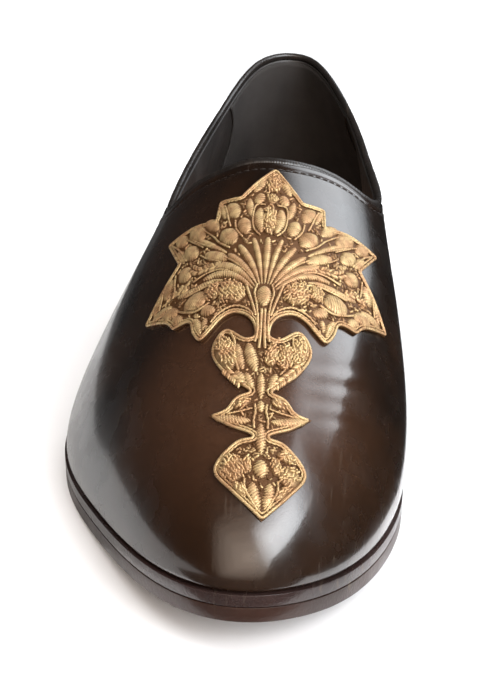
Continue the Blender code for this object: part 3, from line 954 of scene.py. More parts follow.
def make_heel(finishes):
    """The stack of leather lifts and the rubber top piece."""
    bottom, lifts, rows = TOP_PIECE + GAP, 4, []
    step = (HEEL_HEIGHT - bottom) / lifts
    for lift in range(lifts):
        low, high = bottom + lift * step, bottom + (lift + 1) * step
        rows += [(low, 0.22), (low + 0.18, 0.05), (low + 0.4, 0.0), (high - 0.4, 0.0), (high - 0.18, 0.05)]
    stack = heel_slice("heel_lifts", tapered(rows + [(HEEL_HEIGHT, 0.22)]))
    finish_piece(stack, finishes["heel"], ("heel_stack",))
    rows = ((0.0, 0.5), (0.15, 0.2), (0.5, 0.0), (2.4, 0.0), (4.6, 0.0), (4.85, 0.08), (TOP_PIECE, 0.3))
    top_piece = heel_slice("rubber_top_piece", tapered(rows))
    finish_piece(top_piece, finishes["rubber"], ("heel_top_piece",))


# ---------------------------------------------------------------------------------------------------------
# The embroidery. Its flat work is drawn down and out from the vamp's centre line, in millimetres, on one side
# or on both, and laid on the leather.

# A pad is a swelling along a spine, so wide to each side and so high, covered with satin or with chips.
Pad = namedtuple("Pad", "name side width rise cover spine")
PADS = (
    Pad("top leaf, middle", "middle", 2.55, 1.0, "chips", ((2.2, 0), (6.4, 0), (10.4, 0))),
    Pad("top leaf, side", "both", 1.65, 0.8, "satin", ((4.2, 2.5), (7.2, 3.8), (10.4, 5.2))),
    Pad("top leaf, foot", "middle", 1.9, 0.9, "chips", ((10.8, 0), (12.8, 0), (15.2, 0))),
    Pad("top leaf, foot side", "both", 1.8, 0.9, "satin", ((10.9, 3.2), (12.8, 3.4), (15.2, 4.2))),
    Pad("tulip, middle", "middle", 2.2, 1.4, "chips", ((16.2, 0), (21.6, 0), (27.8, 0))),
    Pad("tulip, side", "both", 1.8, 1.3, "satin", ((17.0, 2.9), (21.6, 3.0), (27.0, 2.0))),
    Pad("petal by the tulip", "both", 1.3, 0.9, "satin", ((12.6, 6.4), (16.2, 6.0), (20.6, 5.0))),
    Pad("round bud, inner", "both", 2.2, 1.45, "satin", ((20.4, 7.8), (23.6, 7.0), (27.2, 6.0))),
    Pad("round bud, outer", "both", 2.8, 1.5, "satin", ((22.8, 13.6), (26.4, 11.2), (29.8, 9.2))),
    Pad("spike, leaf", "both", 2.2, 1.0, "satin", ((12.4, 12.8), (15.6, 11.0), (19.6, 9.4))),
    Pad("spike, edge leaf", "both", 1.2, 0.9, "satin", ((11.2, 15.2), (14.0, 14.3), (18.0, 13.2))),
    Pad("side lobe, upper leaf", "both", 1.9, 0.9, "satin", ((14.2, 20.6), (17.6, 17.6), (21.4, 15.2))),
    Pad("side lobe, long leaf", "both", 2.8, 1.2, "satin", ((12.8, 26.2), (16.8, 23.4), (21.2, 20.2))),
    Pad("side lobe, tip leaf", "both", 2.2, 1.1, "satin", ((11.2, 32.6), (14.2, 30.0), (17.4, 27.4))),
    Pad("side lobe, bright bud", "both", 2.45, 1.35, "satin", ((19.8, 27.0), (23.2, 24.8), (27.0, 22.0))),
    Pad("side lobe, edge leaf", "both", 1.55, 0.9, "satin", ((17.4, 31.2), (20.6, 29.2), (24.4, 27.2))),
    Pad("rib's leaf", "both", 1.9, 1.2, "satin", ((28.0, 18.9), (31.0, 15.8), (35.2, 11.0))),
    Pad("wing, inner bud", "both", 2.55, 1.25, "satin", ((27.6, 27.6), (30.6, 26.0), (33.8, 23.6))),
    Pad("wing, upper leaf", "both", 2.7, 1.0, "satin", ((27.6, 32.0), (30.6, 32.4), (34.4, 32.8))),
    Pad("wing, edge leaf", "both", 1.55, 0.9, "satin", ((31.0, 35.2), (34.0, 36.6), (36.6, 37.8))),
    Pad("wing, tip leaf", "both", 1.8, 1.0, "satin", ((37.2, 38.2), (38.4, 34.4), (39.8, 29.6))),
    Pad("wing, golden leaf", "both", 2.3, 1.2, "satin", ((40.6, 33.6), (42.4, 30.0), (44.6, 26.8))),
    Pad("wing, low leaf", "both", 1.65, 1.0, "satin", ((45.0, 28.8), (46.8, 26.8), (49.0, 24.6))),
    Pad("wing, oval", "both", 3.7, 1.5, "satin", ((43.4, 24.2), (45.4, 20.4), (47.6, 16.8))),
    Pad("wing, round bud", "both", 2.45, 1.3, "chips", ((42.4, 14.0), (45.2, 14.4), (48.4, 13.4))),
    Pad("wing, bud by the stem", "both", 3.45, 1.5, "chips", ((43.8, 11.2), (48.0, 8.9), (52.4, 6.4))),
    Pad("wing, lowest bud", "both", 1.9, 1.1, "satin", ((49.4, 17.6), (51.4, 15.8), (53.2, 13.4))),
    Pad("curl, edge leaf", "both", 1.2, 1.0, "satin", ((51.4, 20.2), (54.6, 18.6), (58.8, 17.4))),
    Pad("curl, inner leaf", "both", 1.1, 0.9, "satin", ((53.6, 16.2), (55.6, 16.4), (57.8, 16.6))),
    Pad("stem's bud", "middle", 2.3, 1.35, "satin", ((47.4, 0), (50.6, 0), (54.8, 0))),
    Pad("cup, long oval", "outer", 3.05, 1.45, "chips", ((63.0, 10.9), (68.6, 9.7), (75.2, 7.2))),
    Pad("cup, thin leaf", "outer", 1.5, 1.0, "satin", ((67.0, 6.3), (71.2, 5.9), (75.8, 4.6))),
    Pad("cup, leaf by the stem", "outer", 1.8, 1.1, "satin", ((67.2, 3.5), (71.8, 2.7), (76.8, 1.3))),
    Pad("cup, side oval", "inner", 2.7, 1.25, "chips", ((62.8, 9.8), (67.2, 10.0), (73.0, 8.6))),
    Pad("cup, middle bud", "inner", 2.4, 1.3, "chips", ((66.4, 6.0), (70.0, 6.2), (75.4, 5.2))),
    Pad("cup, round bud", "inner", 2.0, 1.4, "chips", ((67.4, 3.0), (71.2, 2.6), (75.2, 2.0))),
    Pad("cup, foot leaf", "both", 1.3, 1.0, "satin", ((76.8, 3.9), (79.2, 3.1), (82.2, 2.1))),
    Pad("cup, foot of the stem", "middle", 1.25, 1.15, "satin", ((77.0, 0), (80.6, 0), (85.2, 0))),
    Pad("cup, low leaf", "outer", 1.5, 0.95, "satin", ((75.8, 6.4), (78.0, 5.4), (80.4, 4.0))),
    Pad("leaf pair, middle bud", "middle", 1.2, 1.1, "satin", ((85.6, 0), (87.2, 0), (89.2, 0))),
    Pad("leaf pair, upper leaf", "both", 1.7, 1.15, "chips", ((85.2, 2.4), (85.9, 4.4), (87.2, 6.8))),
    Pad("leaf pair, lower leaf", "both", 1.5, 1.1, "satin", ((91.6, 2.3), (91.0, 6.2), (88.6, 11.6))),
    Pad("neck", "middle", 1.5, 1.25, "satin", ((92.2, 0), (96.4, 0), (101.2, 0))),
    Pad("spade, large oval", "outer", 3.2, 1.35, "chips", ((100.4, 8.2), (103.8, 7.0), (107.8, 5.2))),
    Pad("spade, upper bud", "inner", 1.8, 1.1, "chips", ((100.6, 9.0), (100.5, 6.6), (100.5, 3.6))),
    Pad("spade, small oval", "inner", 2.9, 1.3, "chips", ((103.4, 9.0), (105.4, 7.2), (108.2, 5.0))),
    Pad("spade, middle bud", "middle", 2.1, 1.2, "satin", ((102.4, 0), (104.8, 0), (107.4, 0))),
    Pad("spade, leaf by the bud", "both", 1.3, 1.0, "chips", ((101.2, 3.0), (103.6, 3.6), (106.4, 3.2))),
    Pad("spade, low leaf", "both", 1.4, 1.0, "chips", ((107.6, 7.0), (109.8, 5.3), (112.4, 3.4))),
    Pad("spade, tip leaf", "both", 1.6, 1.0, "satin", ((108.2, 2.1), (111.6, 1.8), (115.4, 0.6))),
)

# A rib runs out of the stem: a satin band, narrower where it starts by a share of its width.
Rib = namedtuple("Rib", "name side width taper rise spine")
RIBS = (
    Rib("middle", "middle", 1.3, 0.7, 1.05, ((46.6, 0), (38, 0), (28.8, 0))),
    Rib("first", "both", 1.1, 0.7, 1.0, ((46.8, 0.7), (41, 1.5), (35, 2.5), (29.0, 4.0))),
    Rib("second", "both", 1.3, 0.7, 1.1, ((47.0, 1.3), (41.8, 2.9), (36.8, 4.9), (31.0, 7.8))),
    Rib("third", "both", 1.3, 0.7, 1.15, ((47.4, 1.9), (42.6, 4.2), (38.2, 7.0), (33.2, 10.8))),
    Rib("third, far end", "both", 1.0, 0.3, 0.9, ((32.4, 11.4), (28.4, 15.0), (24.4, 18.4), (19.4, 22.8))),
    Rib("fourth", "both", 1.55, 0.7, 1.15,
         ((47.8, 2.5), (43.6, 5.2), (40.0, 8.2), (37.2, 11.6), (34.9, 15.2))),
    Rib("fifth", "both", 1.4, 0.6, 1.15, ((48.4, 3.0), (44.6, 6.1), (41.4, 9.6), (39.3, 13.8), (38.4, 18.4))),
    Rib("sixth", "both", 1.25, 0.5, 1.05,
         ((42.6, 11.6), (41.2, 14.8), (40.5, 19.0), (39.6, 23.6), (38.0, 27.6))),
)

# A cord is couched down on its own; radius in millimetres. A twisted one is of two plies.
Cord = namedtuple("Cord", "name side radius twisted spine")
CORDS = (
    Cord("beside the third rib", "both", 0.32, False, ((46.4, 2.4), (41.4, 5.6), (37.0, 9.0), (33.8, 12.2))),
    Cord("under the rib's leaf", "both", 0.34, True,
         ((36.9, 11.2), (33.4, 15.0), (30.4, 18.2), (27.4, 20.6))),
    Cord("over the rib's leaf", "both", 0.34, False,
         ((31.0, 13.0), (27.0, 16.8), (23.4, 20.4), (18.6, 24.6))),
    Cord("over the fifth rib", "both", 0.34, False, ((40.2, 10.0), (37.9, 13.4), (36.9, 17.6), (36.8, 22.0))),
    Cord("under the sixth rib", "both", 0.38, False,
         ((43.9, 11.4), (42.4, 15.0), (41.7, 19.4), (40.7, 24.4))),
    Cord("stem's bud, side", "both", 0.4, True, ((46.6, 1.8), (50.0, 2.5), (53.6, 1.9), (57.2, 1.5))),
    Cord("beside the bud by the stem", "both", 0.42, False,
         ((46.2, 5.0), (50.4, 3.9), (54.4, 2.8), (58.4, 1.9))),
    Cord("over the arch", "both", 0.42, True,
         ((58.0, 2.5), (55.6, 4.3), (53.8, 7.8), (54.8, 12.0), (56.8, 14.2))),
    Cord("stem, middle", "both", 0.42, False, ((55.6, 0.45), (60.0, 0.45), (64.6, 0.5), (69.6, 0.8))),
    Cord("stem, side", "both", 0.42, False, ((57.0, 1.45), (60.6, 1.35), (64.4, 1.4), (67.4, 1.9))),
    Cord("stem, foot", "both", 0.42, True, ((86.6, 1.5), (89.0, 1.3), (91.4, 1.7), (94.0, 1.6))),
    Cord("tulip, outline", "both", 0.36, True,
         ((16.0, 1.5), (16.2, 4.2), (20.6, 4.8), (25.4, 4.2), (28.4, 2.2))),
    Cord("round the inner bud", "both", 0.34, False, ((28.4, 7.0), (24.4, 9.2), (20.4, 9.8))),
    Cord("round the outer bud", "both", 0.34, False, ((31.2, 10.4), (27.4, 13.9), (23.2, 16.4))),
    Cord("spike, vein", "both", 0.34, False, ((12.2, 14.0), (15.4, 12.9), (19.6, 11.9), (22.6, 11.0))),
    Cord("side lobe, upper vein", "both", 0.34, True,
         ((13.6, 24.4), (17.4, 20.9), (21.4, 17.8), (24.4, 15.6))),
    Cord("side lobe, lower vein", "both", 0.34, True,
         ((12.4, 31.6), (16.2, 27.2), (20.4, 23.6), (25.0, 19.8))),
    Cord("side lobe, edge vein", "both", 0.34, False,
         ((12.2, 34.4), (16.4, 31.0), (21.0, 28.4), (25.6, 26.0))),
    Cord("wing, upper vein", "both", 0.34, False, ((27.6, 29.8), (31.2, 29.6), (35.6, 29.0))),
    Cord("wing, edge vein", "both", 0.34, False, ((29.4, 34.2), (33.0, 34.7), (36.9, 35.2))),
    Cord("wing, under the tip leaf", "both", 0.36, False, ((38.6, 37.6), (40.2, 33.4), (41.8, 29.0))),
    Cord("wing, round the oval", "both", 0.36, False,
         ((49.0, 15.0), (49.4, 19.4), (46.6, 23.8), (44.0, 26.6))),
    Cord("cup, round the long oval", "outer", 0.38, False,
         ((62.6, 8.4), (66.2, 7.0), (71.0, 6.9), (76.2, 5.6))),
    Cord("cup, thin vein", "inner", 0.36, False, ((64.8, 4.4), (66.6, 3.8), (68.0, 1.9))),
    Cord("cup, between the ovals", "inner", 0.36, True, ((63.6, 7.9), (68.0, 7.9), (73.4, 6.8), (77.2, 4.6))),
    Cord("leaf pair, middle", "both", 0.34, True, ((88.0, 1.9), (88.7, 4.8), (88.9, 8.4))),
    Cord("spade, vein", "both", 0.36, False, ((107.2, 3.9), (110.2, 3.8), (113.2, 2.3), (115.8, 0.9))),
)

# A plait is a double row of short slanting stitches along a spine, so wide to each side.
Plait = namedtuple("Plait", "name side width spine")
PLAITS = (
    Plait("wing band", "both", 1.3, ((36.2, 13.6), (34.8, 17.2), (33.6, 20.6), (31.0, 23.0))),
    Plait("wing band, tip", "both", 1.0, ((37.8, 24.0), (36.2, 27.4), (35.4, 31.4))),
    Plait("cup, lower edge", "inner", 1.0, ((72.6, 10.0), (76.6, 7.2), (80.6, 3.8))),
    Plait("cup, outer lower edge", "outer", 0.9, ((75.2, 9.0), (78.2, 6.9), (80.6, 5.0))),
)


def smoothed(places, corners=(), pieces=8):
    """Points along flat places, bending smoothly at all but the corners."""
    places = [np.array(place, float) for place in places]
    corners = set(corners) | {0, len(places) - 1}
    shares = (np.arange(pieces) / pieces)[:, None]
    rests = 1 - shares
    points = []
    for index in range(len(places) - 1):
        start, end = places[index], places[index + 1]
        before = start if index in corners else places[index - 1]
        after = end if index + 1 in corners else places[index + 2]
        leave, arrive = (end - before) / 2, (after - start) / 2
        points.append(
            (1 + 2 * shares) * rests**2 * start + shares * rests**2 * leave
            + shares**2 * (3 - 2 * shares) * end - shares**2 * rests * arrive
        )
    return np.concatenate(points + [places[-1][None]])


def resampled(points, step, closed=False):
    """The line's points again, a step apart."""
    if closed:
        points = np.concatenate((points, points[:1]))
    lengths = lengths_along(points)
    count = max(int(round(lengths[-1] / step)), 3)
    line = points_at(np.linspace(0, lengths[-1], count + 1), lengths, points)
    return line[:-1] if closed else line


def embroidery_outline():
    """The whole edge of the embroidery as flat places (down, out), one side and then its mirror image."""
    places = [(row.down, row.out) for row in EMBROIDERY_EDGE]
    corners = [index for index, row in enumerate(EMBROIDERY_EDGE) if row.corner]
    half = smoothed(places, corners)
    other = half[-2:0:-1] * np.array([1, -1])
    return np.concatenate((half, other))


def edge_distance(points, outline):
    """How far flat points lie from a closed outline."""
    starts, ends = outline, np.roll(outline, -1, axis=0)
    nearest = np.full(len(points), 1e9)
    for start, end in zip(starts, ends):
        way = end - start
        share = np.clip(((points - start) @ way) / max(way @ way, 1e-12), 0, 1)[:, None]
        nearest = np.minimum(nearest, np.linalg.norm(points - start - share * way, axis=1))
    return nearest


def is_inside(points, outline):
    """Which flat points lie inside a closed outline."""
    inside = np.zeros(len(points), bool)
    for start, end in zip(outline, np.roll(outline, -1, axis=0)):
        spans = (start[0] > points[:, 0]) != (end[0] > points[:, 0])
        with np.errstate(divide="ignore", invalid="ignore"):
            crossing = start[1] + (points[:, 0] - start[0]) / (end[0] - start[0]) * (end[1] - start[1])
        inside ^= spans & (points[:, 1] < crossing)
    return inside


def inset_outline(outline, inset, step=0.4):
    """The outline drawn in, without the loops that its narrow places would make."""
    line = resampled(outline, step, closed=True)
    way = np.roll(line, -1, axis=0) - np.roll(line, 1, axis=0)
    inwards = unit(crossways(way))
    if not is_inside(line[:1] + inwards[:1] * 0.3, outline)[0]:
        inwards = -inwards
    moved = line + inwards * inset
    kept = moved[(edge_distance(moved, outline) > 0.93 * inset) & is_inside(moved, outline)]
    kept = resampled(kept, step, closed=True)
    for _ in range(2):
        kept = (np.roll(kept, 1, axis=0) + 2 * kept + np.roll(kept, -1, axis=0)) / 4
    return kept


class Drape:
    """Lays flat work on the vamp, by lengths measured on the leather down and out from its centre line."""

    reach = 48  # how far its grid goes to each side of the centre line, in millimetres

    def __init__(self):
        turns, climbs = np.meshgrid(np.linspace(SEAM_TURN, 1 - SEAM_TURN, 201), np.linspace(0, 1, 101))
        points, normals, _ = upper_frame(turns, climbs)
        places = points + normals * VAMP_STEP
        places += normals * (crease_relief(points) + hand_wave(points))[..., None]
        rows, columns = turns.shape
        corners = [row * columns + column for row in range(rows - 1) for column in range(columns - 1)]
        quads = [(here, here + columns, here + columns + 1, here + 1) for here in corners]
        self.vamp = BVHTree.FromPolygons([Vector(place) for place in places.reshape(-1, 3)], quads)
        alongs = np.arange(EMBROIDERY_START, LAST_LENGTH, 1.0)
        centre = self.drop_all(np.stack((alongs, self.centre_across(alongs)), axis=-1))
        centre = points_at(np.arange(EMBROIDERY_LENGTH + 2.0), lengths_along(centre), centre)
        self.grid = np.array([self.row(point) for point in centre])
        down_way, out_way = np.gradient(self.grid, axis=0), np.gradient(self.grid, axis=1)
        facing = unit(np.cross(down_way, out_way))
        self.normals = facing * np.sign(facing[..., 2:3])

    @staticmethod
    def centre_across(along):
        """The vamp's centre line seen from above: it leans inwards to the toe."""
        return CENTRE_ACROSS + CENTRE_LEAN * ((along - EMBROIDERY_START) / 100.0) ** 2

    def drop_all(self, places):
        """The vamp straight below the places (along, across), as far as it reaches."""
        found = []
        for along, across in places:
            point = self.vamp.ray_cast(Vector((along, across, 200)), Vector((0, 0, -1)))[0]
            if point is not None:
                found.append(point)
        return np.array(found, float)

    def row(self, centre):
        """Places on the vamp at whole millimetres out from a point of its centre line, to both sides."""
        lean = (self.centre_across(centre[0] + 1) - self.centre_across(centre[0] - 1)) / 2
        side = unit(np.array([-lean, 1.0]))
        outs = np.arange(0, self.reach + 1.0)
        halves = []
        for hand in (-1, 1):
            walked = self.drop_all(centre[:2] + np.arange(0, self.reach + 2.0)[:, None] * side * hand)
            halves.append(points_at(outs, lengths_along(walked), walked))
        return np.concatenate((halves[0][:0:-1], halves[1]))

    def __call__(self, down, out, lift):
        """Points of the frame on the vamp at flat places, lifted off the leather, and its normals there."""
        down = np.clip(down, 0, len(self.grid) - 1.001)
        out = np.clip(np.asarray(out) + self.reach, 0, 2 * self.reach - 0.001)
        row, column = np.floor(down).astype(int), np.floor(out).astype(int)
        far, wide = (down - row)[..., None], (out - column)[..., None]

        def between(values):
            near = values[row, column] * (1 - wide) + values[row, column + 1] * wide
            away = values[row + 1, column] * (1 - wide) + values[row + 1, column + 1] * wide
            return near * (1 - far) + away * far

        normals = unit(between(self.normals))
        points = between(self.grid) + normals * np.asarray(lift)[..., None]
        return in_frame(points), way_in_frame(normals)


def sides_of(row):
    """1 for the inner side and -1 for the outer one, as a row of a table asks."""
    return {"both": (1, -1), "inner": (1,), "outer": (-1,), "middle": (1,)}[row.side]


def mirrored(spine, side):
    """A spine on one side of the centre line."""
    return [(down, out * side) for down, out in spine]


def rounded_end(lengths, total, radius):
    """A share of a cord's radius that closes it smoothly at both ends."""
    near = np.clip(np.minimum(lengths, total - lengths) / radius, 0, 1)
    return np.sqrt(np.clip(1 - (1 - near) ** 2, 0, 1))


# Rings of a twisted cord lie closer than those of a round one, to show its plies. Cords and plaits lie so far
# over the leather. All are in millimetres.
TWISTED_STEP, ROUND_STEP = 0.22, 0.34
TRIM_LIFT = 0.95


def laid_cord(drape, name, line, radius, lift, step, twisted, closed=False, sides=8):
    """A cord along a flat line, in rings a step apart: round, or of two plies that turn about each other."""
    line = resampled(line, step, closed)
    count = len(line)
    points, normals = drape(line[:, 0], line[:, 1], np.full(count, lift))
    if closed:
        ahead = np.roll(points, -1, axis=0) - np.roll(points, 1, axis=0)
    else:
        ahead = np.gradient(points, axis=0)
    across = unit(np.cross(normals, unit(ahead)))
    lengths = np.arange(count) * step
    end = np.ones(count) if closed else rounded_end(lengths, lengths[-1], radius)
    rows = count if closed else count - 1

    def place(u, v):
        row = np.round(v * rows).astype(int) % count
        angle = 2 * np.pi * u
        swell = np.ones_like(angle)
        if twisted:
            swell = 0.80 + 0.20 * np.cos(2 * (angle - lengths[row] * np.pi / (radius * 3.4)))
        reach = (radius * MM * swell * end[row])[:, None]
        ring = across[row] * np.cos(angle)[:, None] + normals[row] * np.sin(angle)[:, None]
        return points[row] + ring * reach

    # Painted light and shade: each ring of the cord is marked bright on top and dark underneath.
    def tone(u, v):
        return 0.45 + 0.55 * np.sin(2 * np.pi * u)

    return sheet(name, sides, rows, place, (2 * np.pi * radius, rows * step), tone=tone)


# Satin's stitches lie a pitch apart along a pad, whose rows of faces are short enough to show them, and the
# furrow between two of them takes a share off its width and height. A plain pad has so many rows. Both lie
# on the ground, so far over the leather.
STITCH_PITCH, RIDGE_ROW, FURROW = 0.8, 0.19, 0.26
PLAIN_ROWS = 16
PAD_BASE = 0.35


def laid_pad(drape, name, spine, width, rise, ridges, taper=0.0, blunt=0.5):
    """A pad along a flat spine: crowned across, rounded at its ends, flat underneath and ridged by its satin.

    A taper narrows it towards its start, and its ends are the blunter the smaller blunt is.
    """
    line = smoothed(spine, pieces=10)
    length = np.linalg.norm(np.diff(line, axis=0), axis=1).sum()
    rows = int(length / RIDGE_ROW) if ridges else PLAIN_ROWS
    line = resampled(line, length / rows)
    count = len(line)
    side = crossways(unit(np.gradient(line, axis=0)))
    share = np.linspace(0, 1, count)
    outline = np.sin(np.pi * share) ** blunt * (1 - taper * (1 - share) ** 2)
    crown = np.sin(np.pi * share) ** (0.6 * blunt) * (1 - 0.5 * taper * (1 - share) ** 2)

    def shape(u, v):
        row = np.round(v * (count - 1)).astype(int)
        angle = np.where(u < 0.8, u / 0.8 * np.pi, np.pi + (u - 0.8) / 0.2 * np.pi)
        run = share[row] * length + 0.45 * width * np.cos(angle)
        furrow = ridges * (1 - np.abs(np.sin(np.pi * run / STITCH_PITCH))) ** 1.5
        away = np.cos(angle) * width * outline[row] * (1 - furrow)
        lift = PAD_BASE + np.where(angle <= np.pi, rise, 0.12) * np.sin(angle) * crown[row] * (1 - furrow)
        flat = line[row] + side[row] * away[:, None]
        return flat, lift, angle, furrow

    def place(u, v):
        flat, lift, _, _ = shape(u, v)
        return drape(flat[:, 0], flat[:, 1], lift)[0]

    # Painted light and shade: a pad is marked bright on its crown and dark at its sides and in the furrows
    # between its stitches, and a pad under chips darker all over; each stitch's tone also varies a little.
    def tone(u, v):
        _, _, angle, furrow = shape(u, v)
        strand = 0.12 * np.sin(17.3 * np.floor(v * length / STITCH_PITCH) + 3 * spine[0][0])
        top = 0.1 + 0.78 * np.clip(np.sin(angle), 0, 1) ** 0.7 + strand
        return np.clip(top - 2.2 * furrow, 0, 1) * (1.0 if ridges else 0.55)

    return sheet(name, 12, count - 1, place, (2.6 * width, length), tone=tone)


def make_ground(drape, outline, finish):
    """The embroidery's ground: laid threads over the whole shape, falling to the leather at its edge."""
    line = resampled(outline, step=0.9, closed=True)
    deselect_all()
    bpy.ops.mesh.primitive_circle_add(vertices=len(line), radius=1.0, fill_type="NGON")
    made = named("embroidery_ground")
    flat = np.stack((line[:, 1], -line[:, 0], np.zeros(len(line))), axis=-1)
    set_points(made.data, flat * MM)
    cell = 1.6
    downs = np.arange(1 - EMBROIDERY_LENGTH, 0, cell)
    outs = np.arange(1 - EMBROIDERY_HALF_WIDTH, EMBROIDERY_HALF_WIDTH, cell)
    bpy.ops.object.mode_set(mode="EDIT")
    for way, reach in (((0, 1, 0), downs), ((1, 0, 0), outs)):
        for place in reach:
            bpy.ops.mesh.select_all(action="SELECT")
            bpy.ops.mesh.bisect(plane_co=tuple(np.array(way) * place * MM), plane_no=way)
    bpy.ops.mesh.select_all(action="SELECT")
    bpy.ops.mesh.extrude_region_move(TRANSFORM_OT_translate={"value": (0, 0, MM)})
    bpy.ops.object.mode_set(mode="OBJECT")
    points = get_points(made.data)
    down, out = -points[:, 1] / MM, points[:, 0] / MM
    away = edge_distance(np.stack((down, out), axis=-1), line)
    raised = points[:, 2] > 0.5 * MM
    lift = np.where(raised, 0.30 + 0.35 * eased(away, -0.4, 1.6), 0.06)
    for loop, corner in zip(made.data.loops, made.data.uv_layers.active.data):
        corner.uv = (out[loop.vertex_index], down[loop.vertex_index])
    # Painted shade: the ground is marked dark, its top barely lighter than its underside.
    mark_tones(made.data, np.where(raised, 0.16, 0.0))
    set_points(made.data, drape(down, out, lift)[0])
    smooth_angle(facing_out(made), 50)
    finish_piece(made, finish, ("embroidery",))


def make_edge_cords(drape, outline, finishes, sizes):
    """The double cord around the whole shape: a smooth one outside and a twisted one inside it."""
    radius = sizes.edge_cord_radius / MM
    for name, inset, share, lift, twisted, step in (
        ("outer_edge_cord", 0.8, 1.0, 0.75, False, 0.45),
        ("inner_edge_cord", 2.5, 0.8, 0.85, True, TWISTED_STEP),
    ):
        line = inset_outline(outline, radius * inset)
        cord = laid_cord(drape, name, line, radius * share, lift, step, twisted, closed=True)
        finish_piece(facing_out(cord), finishes["cord"])


def make_ribs(drape, finishes, sizes):
    """The ribs that fan out of the stem, and the cords couched between the pads."""
    bands, cords = [], []
    for rib in RIBS:
        for side in sides_of(rib):
            spine = mirrored(rib.spine, side)
            band = laid_pad(drape, rib.name, spine, rib.width, rib.rise, FURROW, rib.taper, blunt=0.25)
            bands.append(band)
    for cord in CORDS:
        for side in sides_of(cord):
            line = smoothed(mirrored(cord.spine, side), pieces=10)
            radius = cord.radius * sizes.cord_swell
            step = TWISTED_STEP if cord.twisted else ROUND_STEP
            cords.append(laid_cord(drape, cord.name, line, radius, TRIM_LIFT, step, cord.twisted, sides=7))
    finish_piece(facing_out(joined("satin_ribs", bands)), finishes["satin"])
    finish_piece(facing_out(joined("couched_cords", cords)), finishes["cord"])


def make_pads(drape, finishes, sizes):
    """The raised petals, buds and leaves."""
    made = []
    for pad in PADS:
        for side in sides_of(pad):
            ridges = FURROW if pad.cover == "satin" else 0.0
            rise = pad.rise * sizes.pad_rise
            made.append(laid_pad(drape, pad.name, mirrored(pad.spine, side), pad.width, rise, ridges))
    finish_piece(facing_out(joined("satin_pads", made)), finishes["satin"])


# What the relief finds at a place: open ground, a pad covered with chips, other work, or the crevice beside
# such work, in which nothing lies for so many millimetres. A cord takes some room beside its radius, and
# cords and plaits stand equally high.
OPEN, CHIPPED, OTHER, CREVICE = range(4)
CREVICE_WIDTH = 0.25
CORD_ROOM, TRIM_RISE = 0.15, 0.6


class Relief:
    """The raised work as a height over the flat drawing, from which the chips take their place and tilt."""

    def __init__(self):
        self.parts = []
        for row in PADS + RIBS + PLAITS + CORDS:
            for side in sides_of(row):
                line = resampled(smoothed(mirrored(row.spine, side)), step=0.5)
                share = np.linspace(0, 1, len(line))
                swell = np.maximum(np.sin(np.pi * share), 1e-6) ** 0.5 if isinstance(row, Pad) else 1.0
                width = row.radius + CORD_ROOM if isinstance(row, Cord) else row.width
                chipped = isinstance(row, Pad) and row.cover == "chips"
                rise = row.rise if isinstance(row, (Pad, Rib)) else TRIM_RISE
                way = unit(np.gradient(line, axis=0))
                heading = np.arctan2(way[:, 1], way[:, 0])
                self.parts.append((line, width * swell * np.ones(len(line)), rise, chipped, heading))

    def __call__(self, points):
        """The height at flat points, the heading of what lies highest there, and what is found there."""
        height, heading = np.zeros(len(points)), np.zeros(len(points))
        kind = np.full(len(points), OPEN)
        for line, widths, _, _, _ in self.parts:
            apart = np.linalg.norm(points[:, None] - line, axis=-1)
            kind[(apart - widths).min(axis=1) < CREVICE_WIDTH] = CREVICE
        for line, widths, rise, chipped, headings in self.parts:
            apart = np.linalg.norm(points[:, None] - line, axis=-1)
            nearest = apart.argmin(axis=1)
            away = apart.min(axis=1) / widths[nearest]
            dome = rise * np.sqrt(np.clip(1 - away**2, 0, 1))
            over = (away < 1.05) & (dome >= height)
            height[over], heading[over] = dome[over], headings[nearest[over]]
            kind[over] = CHIPPED if chipped else OTHER
        return height, heading, kind


def chip_pattern(length, radius):
    """A chip of cut purl: a short tube with rounded ends."""
    levels = np.array((0.0, 0.05, 0.2, 0.5, 0.8, 0.95, 1.0))
    swell = np.array((0.0, 0.7, 1.0, 0.92, 1.0, 0.7, 0.0))

    def place(u, v):
        row = np.round(v * (len(levels) - 1)).astype(int)
        angle = 2 * np.pi * u
        reach = radius * swell[row]
        along = (levels[row] - 0.5) * length
        return np.stack((along, reach * np.cos(angle), reach * np.sin(angle)), axis=-1)

    return facing_out(sheet("chip", 5, len(levels) - 1, place))


# The chips keep so far from the edge of the embroidery, and those on the bare ground keep further off.
EDGE_MARGIN, GROUND_MARGIN = 1.35, 1.9
CHIP_SEED = 11


def scattered(outline, spacing, rng):
    """Flat places inside the edge cords, about a spacing apart, in staggered rows."""
    downs = np.arange(0, EMBROIDERY_LENGTH, spacing * 0.87)
    outs = np.arange(-EMBROIDERY_HALF_WIDTH, EMBROIDERY_HALF_WIDTH, spacing)
    rows = [(down, outs + (index % 2) * spacing / 2) for index, down in enumerate(downs)]
    grid = np.array([(down, out) for down, row in rows for out in row])
    grid += rng.uniform(-0.3, 0.3, grid.shape) * spacing
    return grid[is_inside(grid, outline) & (edge_distance(grid, outline) > EDGE_MARGIN)]


def laid_chips(drape, relief, places, angles, base):
    """Where chips lie: their middles, ways and normals, over the relief at flat places."""
    reach = 0.35
    ahead = np.stack((np.cos(angles), np.sin(angles)), axis=-1) * reach
    aside = np.stack((-np.sin(angles), np.cos(angles)), axis=-1) * reach

    def at(flat):
        return drape(flat[:, 0], flat[:, 1], base + relief(flat)[0])[0]

    ways = unit(at(places + ahead) - at(places - ahead))
    normals = unit(np.cross(ways, at(places + aside) - at(places - aside)))
    upwards = drape(places[:, 0], places[:, 1], np.zeros(len(places)))[1]
    normals *= np.sign((normals * upwards).sum(axis=-1, keepdims=True))
    return at(places), ways, normals


